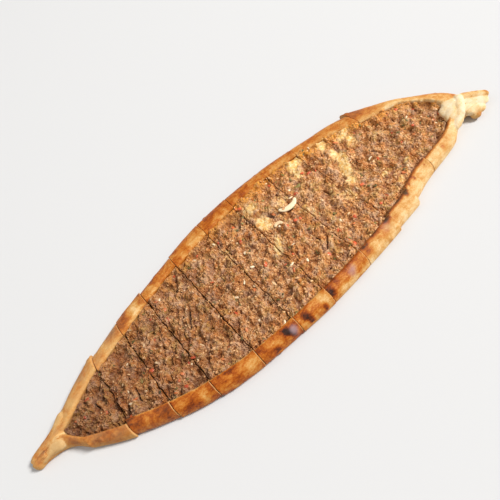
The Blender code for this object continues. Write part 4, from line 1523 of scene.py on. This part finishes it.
tops = finder([(x, y, 0.0) for x, y, _ in top_points])


def resting_level(x, y):
    """How high the meat's highest points stand near a place in plan."""
    near = tops.find_range((x + PLAN_SHIFT[0], y + PLAN_SHIFT[1], 0.0), BIT_REST)
    return float(np.mean(sorted(top_points[number][2] for _, number, _ in near)[-BIT_REST_POINTS:]))


def with_laid_bits(piece, bits, material):
    """Add the larger bits of this kind to a sprinkled piece."""
    parts = [piece.data]
    for bit in bits:
        level = float(np.mean([resting_level(x, y) for x, y in bit.line])) + bit.raise_by
        path = tuple((x, y, level) for x, y in bit.line)
        points, faces = fold_mesh(Fold(path, bit.widths, (bit.thick,) * len(path), 0.0), BIT_SIDES)
        parts.append(new_piece("bit", points, faces, {"shade": np.full(len(points), bit.shade)}).data)
    piece.data = joined_mesh(piece.name, parts)
    for part in parts[1:]:
        bpy.data.meshes.remove(part)
    piece.data.materials.append(material)
    for polygon in piece.data.polygons:
        polygon.material_index = 0
    piece.data.shade_smooth()


# Each kind: its name and slot; its material's name, colours, roughness, veining and vein scale;
# how many lie on a square metre, its seed, least and greatest size, tilt and rise above the
# meat; and how lumpy a grain is, at what scale.
Kind = namedtuple("Kind", "name slot finish density seed least greatest tilt rise lumps scale")
KINDS = (
    Kind("meat_crumbs", "mince",
         ("loose mince", ((158, 96, 46), (210, 148, 86), (244, 198, 144)), 0.5, 0.5, 1500.0),
         36000.0, 11, (0.0006, 0.0005, 0.0004), (0.0017, 0.0011, 0.0008), 0.7, -0.0001, 0.0018, 560.0),
    Kind("pepper_flecks", "pepper",
         ("red pepper", ((180, 66, 34), (212, 96, 52), (226, 138, 82)), 0.32, 0.5, 900.0),
         1500.0, 23, (0.0014, 0.0010, 0.0005), (0.0032, 0.0021, 0.0009), 0.30, -0.0002, 0.0022, 280.0),
    Kind("herb_flecks", "herb",
         ("parsley", ((70, 60, 24), (108, 96, 42), (150, 130, 66)), 0.5, 0.5, 1100.0),
         2000.0, 37, (0.0010, 0.0006, 0.0002), (0.0027, 0.0015, 0.0004), 0.40, 0.0000, 0.0016, 380.0),
    Kind("onion_bits", "onion",
         ("cooked onion", ((206, 154, 102), (226, 186, 136), (246, 226, 190)), 0.3, 0.4, 700.0),
         1100.0, 51, (0.0012, 0.0008, 0.0005), (0.0032, 0.0015, 0.0008), 0.30, -0.0001, 0.0022, 320.0),
)
for kind in KINDS:
    material = make_fleck(*kind.finish)
    piece = new_piece(kind.name, top_points, top_faces, top_notes)
    grown(piece, sprinkle, {
        "Density": kind.density, "Seed": kind.seed, "Least Size": kind.least,
        "Greatest Size": kind.greatest, "Tilt": kind.tilt, "Raise": kind.rise,
        "Lumpiness": kind.lumps, "Lump Scale": kind.scale, "Material": material})
    if kind.name in LAID_BITS:
        with_laid_bits(piece, LAID_BITS[kind.name], material)
    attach(piece, "root")
